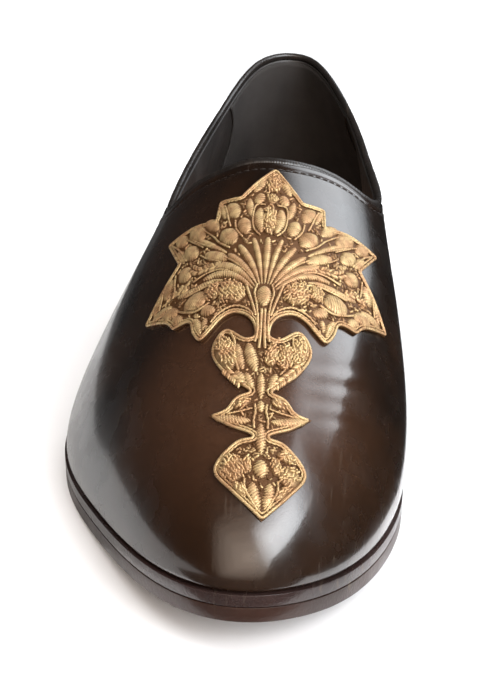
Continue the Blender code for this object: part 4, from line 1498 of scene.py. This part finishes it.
def make_chips(drape, outline, finishes, sizes):
    """Chips of cut purl: close together over the pads that they cover, and scattered over the bare ground."""
    rng, relief = np.random.default_rng(CHIP_SEED), Relief()
    places = scattered(outline, sizes.chip_spacing / MM, rng)
    _, heading, kind = relief(places)
    bare = (kind == OPEN) & (edge_distance(places, outline) >= GROUND_MARGIN)
    # Each chip's tone varies at random; the lower range of the chips on the bare ground is painted shade, as
    # they lie low among the raised work.
    for name, chosen, turn, base, tones in (
        ("pad_chips", kind == CHIPPED, 0.45, 0.5, (0.55, 1.0)),
        ("ground_chips", bare, 1.6, 0.80, (0.15, 0.75)),
    ):
        here, count = places[chosen], int(chosen.sum())
        angles = heading[chosen] + rng.normal(0, turn, count)
        sunk = rng.uniform(0.0, 0.2, count)
        points, ways, normals = laid_chips(drape, relief, here, angles, base - sunk)
        ways = unit(ways + normals * rng.uniform(-0.2, 0.2, count)[:, None])
        normals = np.cross(ways, unit(np.cross(normals, ways)))
        pattern = chip_pattern(sizes.chip_length, sizes.chip_radius)
        lengths = rng.uniform(0.7, 1.2, count)
        made = copies(name, pattern, points, ways, normals, lengths, rng.uniform(*tones, count))
        finish_piece(made, finishes["chip"])


def make_plaits(drape, finishes):
    """The double rows of slanting stitches."""
    places, angles = [], []
    for plait in PLAITS:
        for side in sides_of(plait):
            line = resampled(smoothed(mirrored(plait.spine, side)), step=0.85)
            way = unit(np.gradient(line, axis=0))
            heading = np.arctan2(way[:, 1], way[:, 0])
            for hand in (1, -1):
                places.append(line + crossways(way) * hand * plait.width * 0.55 + way * 0.2 * hand)
                angles.append(heading + hand * 0.75)
    places, angles = np.concatenate(places), np.concatenate(angles)
    further = places + 0.5 * np.stack((np.cos(angles), np.sin(angles)), axis=-1)
    lift = np.full(len(places), TRIM_LIFT)
    points, normals = drape(places[:, 0], places[:, 1], lift)
    ways = unit(drape(further[:, 0], further[:, 1], lift)[0] - points)
    ways = unit(ways - normals * (ways * normals).sum(axis=-1, keepdims=True))
    pattern = stitch_pattern(length=1.9 * MM, radius=0.42 * MM)
    tones = 0.6 + 0.3 * np.sin(np.arange(len(places)) * 2.4)
    made = copies("plaited_bands", pattern, points, ways, normals, tones=tones)
    finish_piece(made, finishes["satin"])


# ---------------------------------------------------------------------------------------------------------
# The studio.

# The floor's edges, in metres: to the shoe's outer and inner side, before its toe and behind it.
FLOOR_REACH = ((-0.26, 0.30), (-0.205, 0.50))

# Cards, seen only by what mirrors them, paint dark and grey reflections into the leather: a dark one leans
# beside the inner side, dark ones lie on the floor before the toe and behind the heel, and a grey one beside
# the outer side. Corners are in metres.
Card = namedtuple("Card", "name tone corners")
CARDS = (
    Card("inner_card", 0.016, (
        (0.066, -0.24, 0), (0.066, 0.20, 0), (0.105, 0.20, 0.085), (0.105, -0.24, 0.085),
    )),
    Card("toe_card", 0.016, (
        (-0.09, -0.235, 0.001), (0.12, -0.235, 0.001), (0.12, -0.147, 0.001), (-0.06, -0.147, 0.001),
    )),
    Card("back_card", 0.03, (
        (-0.32, 0.15, 0.0009), (0.32, 0.15, 0.0009), (0.32, 0.52, 0.0009), (-0.32, 0.52, 0.0009),
    )),
    Card("outer_card", 0.45, (
        (-0.27, -0.24, 0.0006), (-0.02, -0.24, 0.0006), (-0.056, 0.2, 0.0006), (-0.27, 0.2, 0.0006),
    )),
)


def make_plane(name, points):
    """A sheet of the stage through four corners, given in two rows."""
    deselect_all()
    bpy.ops.mesh.primitive_plane_add(size=1.0, location=(0, 0, 0))
    made = named(name)
    set_points(made.data, np.array(points))
    return made


def paper(name, first, second, roughness, scale):
    """A material of the stage, clouded between two colours."""
    made, tree, shader = new_material(name, Roughness=roughness)
    clouds = noise(tree, piece_place(tree), scale)
    tree.links.new(mixed(tree, clouds, colour4(first), colour4(second)), shader.inputs["Base Color"])
    return made


def make_cards():
    """The cards around the shoe."""
    for name, tone, (first, second, third, fourth) in CARDS:
        card = make_plane(name, (first, second, fourth, third))
        tints = (0.9 * tone,) * 3, (1.1 * tone,) * 3
        card.data.materials.append(paper(name.replace("_", " "), *tints, roughness=0.9, scale=20.0))
        for ray in ("camera", "diffuse", "shadow", "transmission"):
            setattr(card, "visible_" + ray, False)


def make_floor(colour):
    """A pale sheet under and behind the shoe."""
    (left, right), (front, back) = FLOOR_REACH
    corners = ((left, front, 0), (right, front, 0), (left, back, 0), (right, back, 0))
    floor = make_plane("studio_floor", corners)
    tints = colour, times(colour, 0.97)
    floor.data.materials.append(paper("pale floor", *tints, roughness=0.6, scale=3.0))


# A soft light is a rectangle of so many metres, facing the shoe from an azimuth (0 behind it, 90 on its inner
# side) and an elevation, in degrees, at a distance in metres. Those that fade are mirrored in the leather:
# each is made of lights one in another, larger and smaller by up to that share, so that its edges are soft.
SoftLight = namedtuple("SoftLight", "name azimuth elevation distance width height power fade colour")
SOFT_LIGHTS = (
    SoftLight("inner window", 46, 38, 1.3, 0.84, 0.90, 7.9, 0.34, (0.90, 0.95, 1.0)),
    SoftLight("inner window's bright side", 56, 25, 1.3, 0.46, 0.46, 1.3, 0.34, (0.95, 0.97, 1.0)),
    SoftLight("front window", 122, 31, 1.2, 0.90, 1.10, 27, 0.34, (0.90, 0.95, 1.0)),
    SoftLight("front window's warm edge", 168, 31, 1.2, 1.50, 1.10, 14, 0.75, (1.0, 0.82, 0.68)),
    SoftLight("outer fill", -70, 58, 1.6, 0.9, 0.9, 10, 0, (1.0, 0.97, 0.94)),
    SoftLight("back fill", 0, 60, 1.5, 1.4, 0.8, 12, 0, (1.0, 1.0, 1.0)),
)
LIT_POINT = (0.01, -0.08, 0.045)
FADE_STEPS = (1, 0.5, 0, -0.5, -1)
FADE_DISTANCE = 0.004  # each of them stands so far behind the one before, in metres

# The surrounding's colour, and how strong it lights, how strong it is mirrored and how strong it looks.
AROUND = (0.93, 0.94, 0.96)
AROUND_LIT, AROUND_MIRRORED, AROUND_SEEN = 0.25, 0.03, 1.15


def make_lights(scene, brightness):
    """Soft lights around the shoe, and a pale surrounding that is mirrored darker than it looks."""
    aim = Vector(LIT_POINT)
    for row in SOFT_LIGHTS:
        azimuth, elevation = np.radians(row.azimuth), np.radians(row.elevation)
        flat = np.cos(elevation)
        way = Vector((np.sin(azimuth) * flat, np.cos(azimuth) * flat, np.sin(elevation)))
        shares = [1 + row.fade * part for part in FADE_STEPS] if row.fade else [1]
        for step, share in enumerate(shares):
            lamp = bpy.data.lights.new(row.name, "AREA")
            lamp.shape = "RECTANGLE"
            lamp.size, lamp.size_y = row.width * share, row.height * share
            lamp.energy, lamp.color = row.power * brightness * share**2 / len(shares), row.colour
            made = bpy.data.objects.new(row.name, lamp)
            made.location = aim + way * (row.distance + FADE_DISTANCE * step)
            made.rotation_euler = (-way).to_track_quat("-Z", "Y").to_euler()
            made.visible_glossy = row.fade > 0
            scene.collection.objects.link(made)
    world = bpy.data.worlds.new("studio")
    scene.world = world
    world.use_nodes = True
    tree = world.node_tree
    around = tree.nodes["Background"]
    around.inputs["Color"].default_value = colour4(AROUND)
    path = wire(tree, "LightPath").outputs
    lit, mirrored_in = AROUND_LIT * brightness, AROUND_MIRRORED * brightness
    unseen = wire(tree, "MapRange", {"Value": path["Is Glossy Ray"], "To Min": lit, "To Max": mirrored_in})
    seen = {"Value": path["Is Camera Ray"], "To Min": unseen.outputs[0], "To Max": AROUND_SEEN}
    tree.links.new(wire(tree, "MapRange", seen).outputs[0], around.inputs["Strength"])
    scene.view_settings.view_transform = "Standard"


def make_camera(scene, stage):
    """The camera, level, at the side from which the shoe is seen."""
    camera = bpy.data.cameras.new("camera")
    camera.lens = stage.lens
    camera.clip_start = 0.01
    made = bpy.data.objects.new("camera", camera)
    made.location = stage.camera_place
    way = Vector(stage.camera_aim) - Vector(stage.camera_place)
    made.rotation_euler = way.to_track_quat("-Z", "Y").to_euler()
    scene.collection.objects.link(made)
    scene.camera = made


# ---------------------------------------------------------------------------------------------------------
# Sizes, colours and the add-on's operators.


def size_of(name, millimetres, description):
    """A length that can be changed."""
    return FloatProperty(
        name=name, description=description, default=millimetres * MM, min=0.05 * MM, unit="LENGTH",
        precision=5,
    )


def colour_of(name, colour, description):
    """A colour that can be changed."""
    return FloatVectorProperty(
        name=name, description=description, default=colour, subtype="COLOR", size=3, min=0.0, max=1.0
    )


class LoaferSizes(bpy.types.PropertyGroup):
    """Sizes of the trim that can be changed without changing the shoe."""

    piping_radius: size_of("Piping radius", PIPING_RADIUS, "Radius of the rolled edge around the opening")
    stitch_spacing: size_of("Stitch spacing", 2.5, "Distance from one seam stitch to the next")
    stitch_radius: size_of("Stitch radius", 0.2, "Radius of the sewing thread")
    edge_cord_radius: size_of("Edge cord radius", 0.45, "Radius of the double cord around the embroidery")
    chip_length: size_of("Chip length", 1.25, "Length of a chip of purl")
    chip_radius: size_of("Chip radius", 0.30, "Radius of a chip of purl")
    chip_spacing: size_of("Chip spacing", 0.90, "Distance between chips of purl")
    cord_swell: FloatProperty(
        name="Cord swell", description="Thickness of the couched cords, as a share of their own", default=1.0,
        min=0.5, max=1.4, subtype="FACTOR",
    )
    pad_rise: FloatProperty(
        name="Pad rise", description="Height of the raised petals, as a share of their own", default=1.0,
        min=0.2, max=1.5, subtype="FACTOR",
    )


class LoaferColours(bpy.types.PropertyGroup):
    """Colours of the leathers, threads and sole."""

    vamp_dark: colour_of("Vamp, dark", (0.0045, 0.0020, 0.0009), "The vamp leather in its darker clouds")
    vamp_light: colour_of("Vamp, light", (0.0200, 0.0084, 0.0034), "The vamp leather in its lighter clouds")
    # Painted sheen: the paler colour painted around the middle of the vamp.
    vamp_sheen: colour_of("Vamp, middle", (0.0560, 0.0245, 0.0120), "The vamp leather where it is palest")
    quarter_dark: colour_of("Quarters, dark", (0.008, 0.007, 0.0065), "The quarters' leather, darker")
    quarter_light: colour_of("Quarters, light", (0.016, 0.013, 0.012), "The quarters' leather, lighter")
    piping: colour_of("Piping", (0.010, 0.008, 0.007), "The rolled edge around the opening")
    lining: colour_of("Lining", (0.014, 0.012, 0.011), "The lining leather")
    sock: colour_of("Sock", (0.36, 0.17, 0.08), "The leather sock on the insole")
    welt: colour_of("Welt", (0.016, 0.009, 0.008), "The midsole's waxed edge")
    sole: colour_of("Sole", (0.032, 0.0125, 0.0075), "The outsole's leather")
    heel: colour_of("Heel", (0.022, 0.011, 0.008), "The heel's leather lifts")
    gold_bright: colour_of("Gold, bright", (0.66, 0.475, 0.24), "The gold thread where it catches the light")
    gold_warm: colour_of("Gold, warm", (0.54, 0.325, 0.165), "The gold thread in its redder places")
    # Painted shade: the colour that the gold threads are darkened to in their crevices, furrows and low
    # places.
    gold_shade: colour_of("Gold, shade", (0.098, 0.042, 0.013), "The gold thread in its crevices")
    floor: colour_of("Floor", (0.86, 0.86, 0.87), "The studio floor")


class LoaferStage(bpy.types.PropertyGroup):
    """The camera and the lights."""

    lens: FloatProperty(name="Lens", description="Focal length", default=62.9, min=10.0, unit="CAMERA")
    camera_place: FloatVectorProperty(
        name="Camera place", description="Where the camera stands", default=(0.0413, -0.3722, 0.1813),
        size=3, subtype="TRANSLATION",
    )
    camera_aim: FloatVectorProperty(
        name="Camera aim", description="The point it looks at", default=(0.0011, -0.0437, 0.0396),
        size=3, subtype="TRANSLATION",
    )
    brightness: FloatProperty(
        name="Brightness", description="Strength of all the lights", default=1.0, min=0.0, subtype="FACTOR"
    )


def leather_finishes(colours):
    """The materials of the upper, the sock and the sole."""
    return {
        "vamp": leather(
            "vamp leather", colours.vamp_dark, colours.vamp_light, 0.24, coat=1.0, coat_roughness=0.11,
            pores=2300.0, wrinkle=0.45, depth=0.018, scuff=0.25, painted_sheen=colours.vamp_sheen,
        ),
        "quarter": leather(
            "quarter leather", colours.quarter_dark, colours.quarter_light, 0.25, coat=0.8,
            coat_roughness=0.16, pores=2300.0, wrinkle=0.45, depth=0.02, scuff=0.25,
        ),
        "piping": leather(
            "piping leather", colours.piping, times(colours.piping, 2), 0.3, coat=0.2,
            pores=2800.0, wrinkle=0.7, depth=0.025, scuff=0.5,
        ),
        "lining": leather(
            "lining leather", colours.lining, times(colours.lining, 1.8), 0.48, pores=1700.0, wrinkle=0.3,
            depth=0.03, scuff=0.2,
        ),
        "suede": leather(
            "suede grip", colours.lining, times(colours.lining, 2.4), 0.85, pores=5200.0, wrinkle=0.1,
            depth=0.09, scuff=0.1,
        ),
        "sock": leather(
            "sock leather", times(colours.sock, 0.8), colours.sock, 0.46, pores=1500.0,
            wrinkle=0.5, depth=0.03, scuff=0.35, scuffed=(0.16, 0.08, 0.045),
        ),
        "welt": leather(
            "welt leather", colours.welt, times(colours.welt, 2), 0.26, coat=0.3,
            coat_roughness=0.16, pores=900.0, wrinkle=0.8, depth=0.03, scuff=0.5,
        ),
        "sole": leather(
            "sole leather", times(colours.sole, 0.55), colours.sole, 0.36, coat=0.15,
            coat_roughness=0.2, pores=700.0, wrinkle=0.8, depth=0.04, scuff=0.8,
        ),
        "heel": leather(
            "heel leather", colours.heel, times(colours.heel, 1.8), 0.3, coat=0.25,
            pores=800.0, wrinkle=0.85, depth=0.03, scuff=0.6,
        ),
        "rubber": leather(
            "top piece rubber", (0.010, 0.010, 0.010), (0.020, 0.020, 0.020), 0.62, pores=1400.0,
            wrinkle=0.2, depth=0.05, scuff=0.8, scuffed=(0.05, 0.05, 0.05),
        ),
        "stitch": leather(
            "sewing thread", times(colours.vamp_dark, 1.2), colours.vamp_light, 0.5,
            pores=5200.0, wrinkle=0.2, depth=0.03, scuff=0.0,
        ),
    }


# A thread's strands lie a pitch apart, slant by a share of their run, and are pressed in by a depth, both in
# millimetres.
Thread = namedtuple("Thread", "key name roughness metallic pitch slant depth")
THREADS = (
    Thread("cord", "gold cord", 0.34, 0.62, 0.42, 0.5, 0.05),
    Thread("satin", "gold satin", 0.38, 0.55, 0.42, 0.35, 0.06),
    Thread("chip", "gold purl", 0.34, 0.6, 0.5, 0.0, 0.0),
    Thread("ground", "laid gold ground", 0.45, 0.5, 0.5, 0.4, 0.08),
)


def gold_finishes(colours):
    """The materials of the embroidery's threads; the ground has the warm colour alone, darkened as painted
    shade between the raised work.
    """
    bright, warm, lower = colours.gold_bright, colours.gold_warm, times(colours.gold_warm, 0.55)
    made = {}
    for thread in THREADS:
        pair = (lower, lower) if thread.key == "ground" else (bright, warm)
        made[thread.key] = gold_thread(thread.name, *pair, colours.gold_shade, *thread[2:])
    return made


# Made by the first operator that needs them, and used by the others too.
made_finishes = {}
drapes = []


def finishes_for(context):
    """All the materials, made once."""
    if not made_finishes:
        make_grain_group()
        make_scuff_group()
        make_thread_group()
        made_finishes.update(leather_finishes(context.scene.loafer_colours))
        made_finishes.update(gold_finishes(context.scene.loafer_colours))
    return made_finishes


def shared_drape():
    """The vamp's drape, worked out once."""
    if not drapes:
        drapes.append(Drape())
    return drapes[0]


class LOAFER_OT_upper(bpy.types.Operator):
    """Make the vamp, the quarters, the lining and the heel grip"""

    bl_idname = "loafer.upper"
    bl_label = "Upper and lining"

    def execute(self, context):
        make_upper(finishes_for(context))
        return {"FINISHED"}


class LOAFER_OT_topline(bpy.types.Operator):
    """Make the piping around the opening"""

    bl_idname = "loafer.topline"
    bl_label = "Top line piping"

    def execute(self, context):
        make_piping(finishes_for(context), context.scene.loafer_sizes)
        return {"FINISHED"}


class LOAFER_OT_stitches(bpy.types.Operator):
    """Sew the side seams and the top line"""

    bl_idname = "loafer.stitches"
    bl_label = "Seam stitches"

    def execute(self, context):
        make_seam_stitches(finishes_for(context), context.scene.loafer_sizes)
        return {"FINISHED"}


class LOAFER_OT_sole(bpy.types.Operator):
    """Make the midsole and the outsole"""

    bl_idname = "loafer.sole"
    bl_label = "Midsole and outsole"

    def execute(self, context):
        make_sole(finishes_for(context))
        return {"FINISHED"}


class LOAFER_OT_sock(bpy.types.Operator):
    """Make the sock on the insole"""

    bl_idname = "loafer.sock"
    bl_label = "Insole sock"

    def execute(self, context):
        make_sock(finishes_for(context))
        return {"FINISHED"}


class LOAFER_OT_heel(bpy.types.Operator):
    """Make the heel's lifts and its top piece"""

    bl_idname = "loafer.heel"
    bl_label = "Heel"

    def execute(self, context):
        make_heel(finishes_for(context))
        return {"FINISHED"}


class LOAFER_OT_embroidery_ground(bpy.types.Operator):
    """Lay the embroidery's ground and the double cord around it"""

    bl_idname = "loafer.embroidery_ground"
    bl_label = "Embroidery ground and edge cords"

    def execute(self, context):
        finishes, outline = finishes_for(context), embroidery_outline()
        make_ground(shared_drape(), outline, finishes["ground"])
        make_edge_cords(shared_drape(), outline, finishes, context.scene.loafer_sizes)
        return {"FINISHED"}


class LOAFER_OT_embroidery_relief(bpy.types.Operator):
    """Lay the ribs, petals, buds, leaves and plaits"""

    bl_idname = "loafer.embroidery_relief"
    bl_label = "Embroidery petals and ribs"

    def execute(self, context):
        finishes, sizes = finishes_for(context), context.scene.loafer_sizes
        make_ribs(shared_drape(), finishes, sizes)
        make_pads(shared_drape(), finishes, sizes)
        make_plaits(shared_drape(), finishes)
        return {"FINISHED"}


class LOAFER_OT_chips(bpy.types.Operator):
    """Cover the pads and the ground with chips of cut purl"""

    bl_idname = "loafer.chips"
    bl_label = "Embroidery chips"

    def execute(self, context):
        make_chips(shared_drape(), embroidery_outline(), finishes_for(context), context.scene.loafer_sizes)
        return {"FINISHED"}


class LOAFER_OT_stage(bpy.types.Operator):
    """Set the floor, the soft lights and the camera"""

    bl_idname = "loafer.stage"
    bl_label = "Studio"

    def execute(self, context):
        scene, stage = context.scene, context.scene.loafer_stage
        make_floor(scene.loafer_colours.floor)
        make_cards()
        make_lights(scene, stage.brightness)
        make_camera(scene, stage)
        return {"FINISHED"}


OPERATORS = (
    LOAFER_OT_upper, LOAFER_OT_topline, LOAFER_OT_stitches, LOAFER_OT_sole, LOAFER_OT_sock, LOAFER_OT_heel,
    LOAFER_OT_embroidery_ground, LOAFER_OT_embroidery_relief, LOAFER_OT_chips, LOAFER_OT_stage,
)


class LOAFER_PT_panel(bpy.types.Panel):
    """The loafer's sizes, colours and steps"""

    bl_label = "Embroidered loafer"
    bl_space_type = "VIEW_3D"
    bl_region_type = "UI"
    bl_category = "Loafer"

    def draw(self, context):
        for group in (context.scene.loafer_sizes, context.scene.loafer_colours, context.scene.loafer_stage):
            box = self.layout.box()
            for name in group.__annotations__:
                box.prop(group, name)
        for operator in OPERATORS:
            self.layout.operator(operator.bl_idname)


CLASSES = (LoaferSizes, LoaferColours, LoaferStage, *OPERATORS, LOAFER_PT_panel)


def register():
    for item in CLASSES:
        bpy.utils.register_class(item)
    bpy.types.Scene.loafer_sizes = PointerProperty(type=LoaferSizes)
    bpy.types.Scene.loafer_colours = PointerProperty(type=LoaferColours)
    bpy.types.Scene.loafer_stage = PointerProperty(type=LoaferStage)


def unregister():
    for name in ("loafer_sizes", "loafer_colours", "loafer_stage"):
        delattr(bpy.types.Scene, name)
    for item in reversed(CLASSES):
        bpy.utils.unregister_class(item)


def main():
    register()
    bpy.ops.loafer.upper()
    bpy.ops.loafer.topline()
    bpy.ops.loafer.stitches()
    bpy.ops.loafer.sole()
    bpy.ops.loafer.sock()
    bpy.ops.loafer.heel()
    bpy.ops.loafer.embroidery_ground()
    bpy.ops.loafer.embroidery_relief()
    bpy.ops.loafer.chips()
    bpy.ops.loafer.stage()


if __name__ == "__main__":
    main()
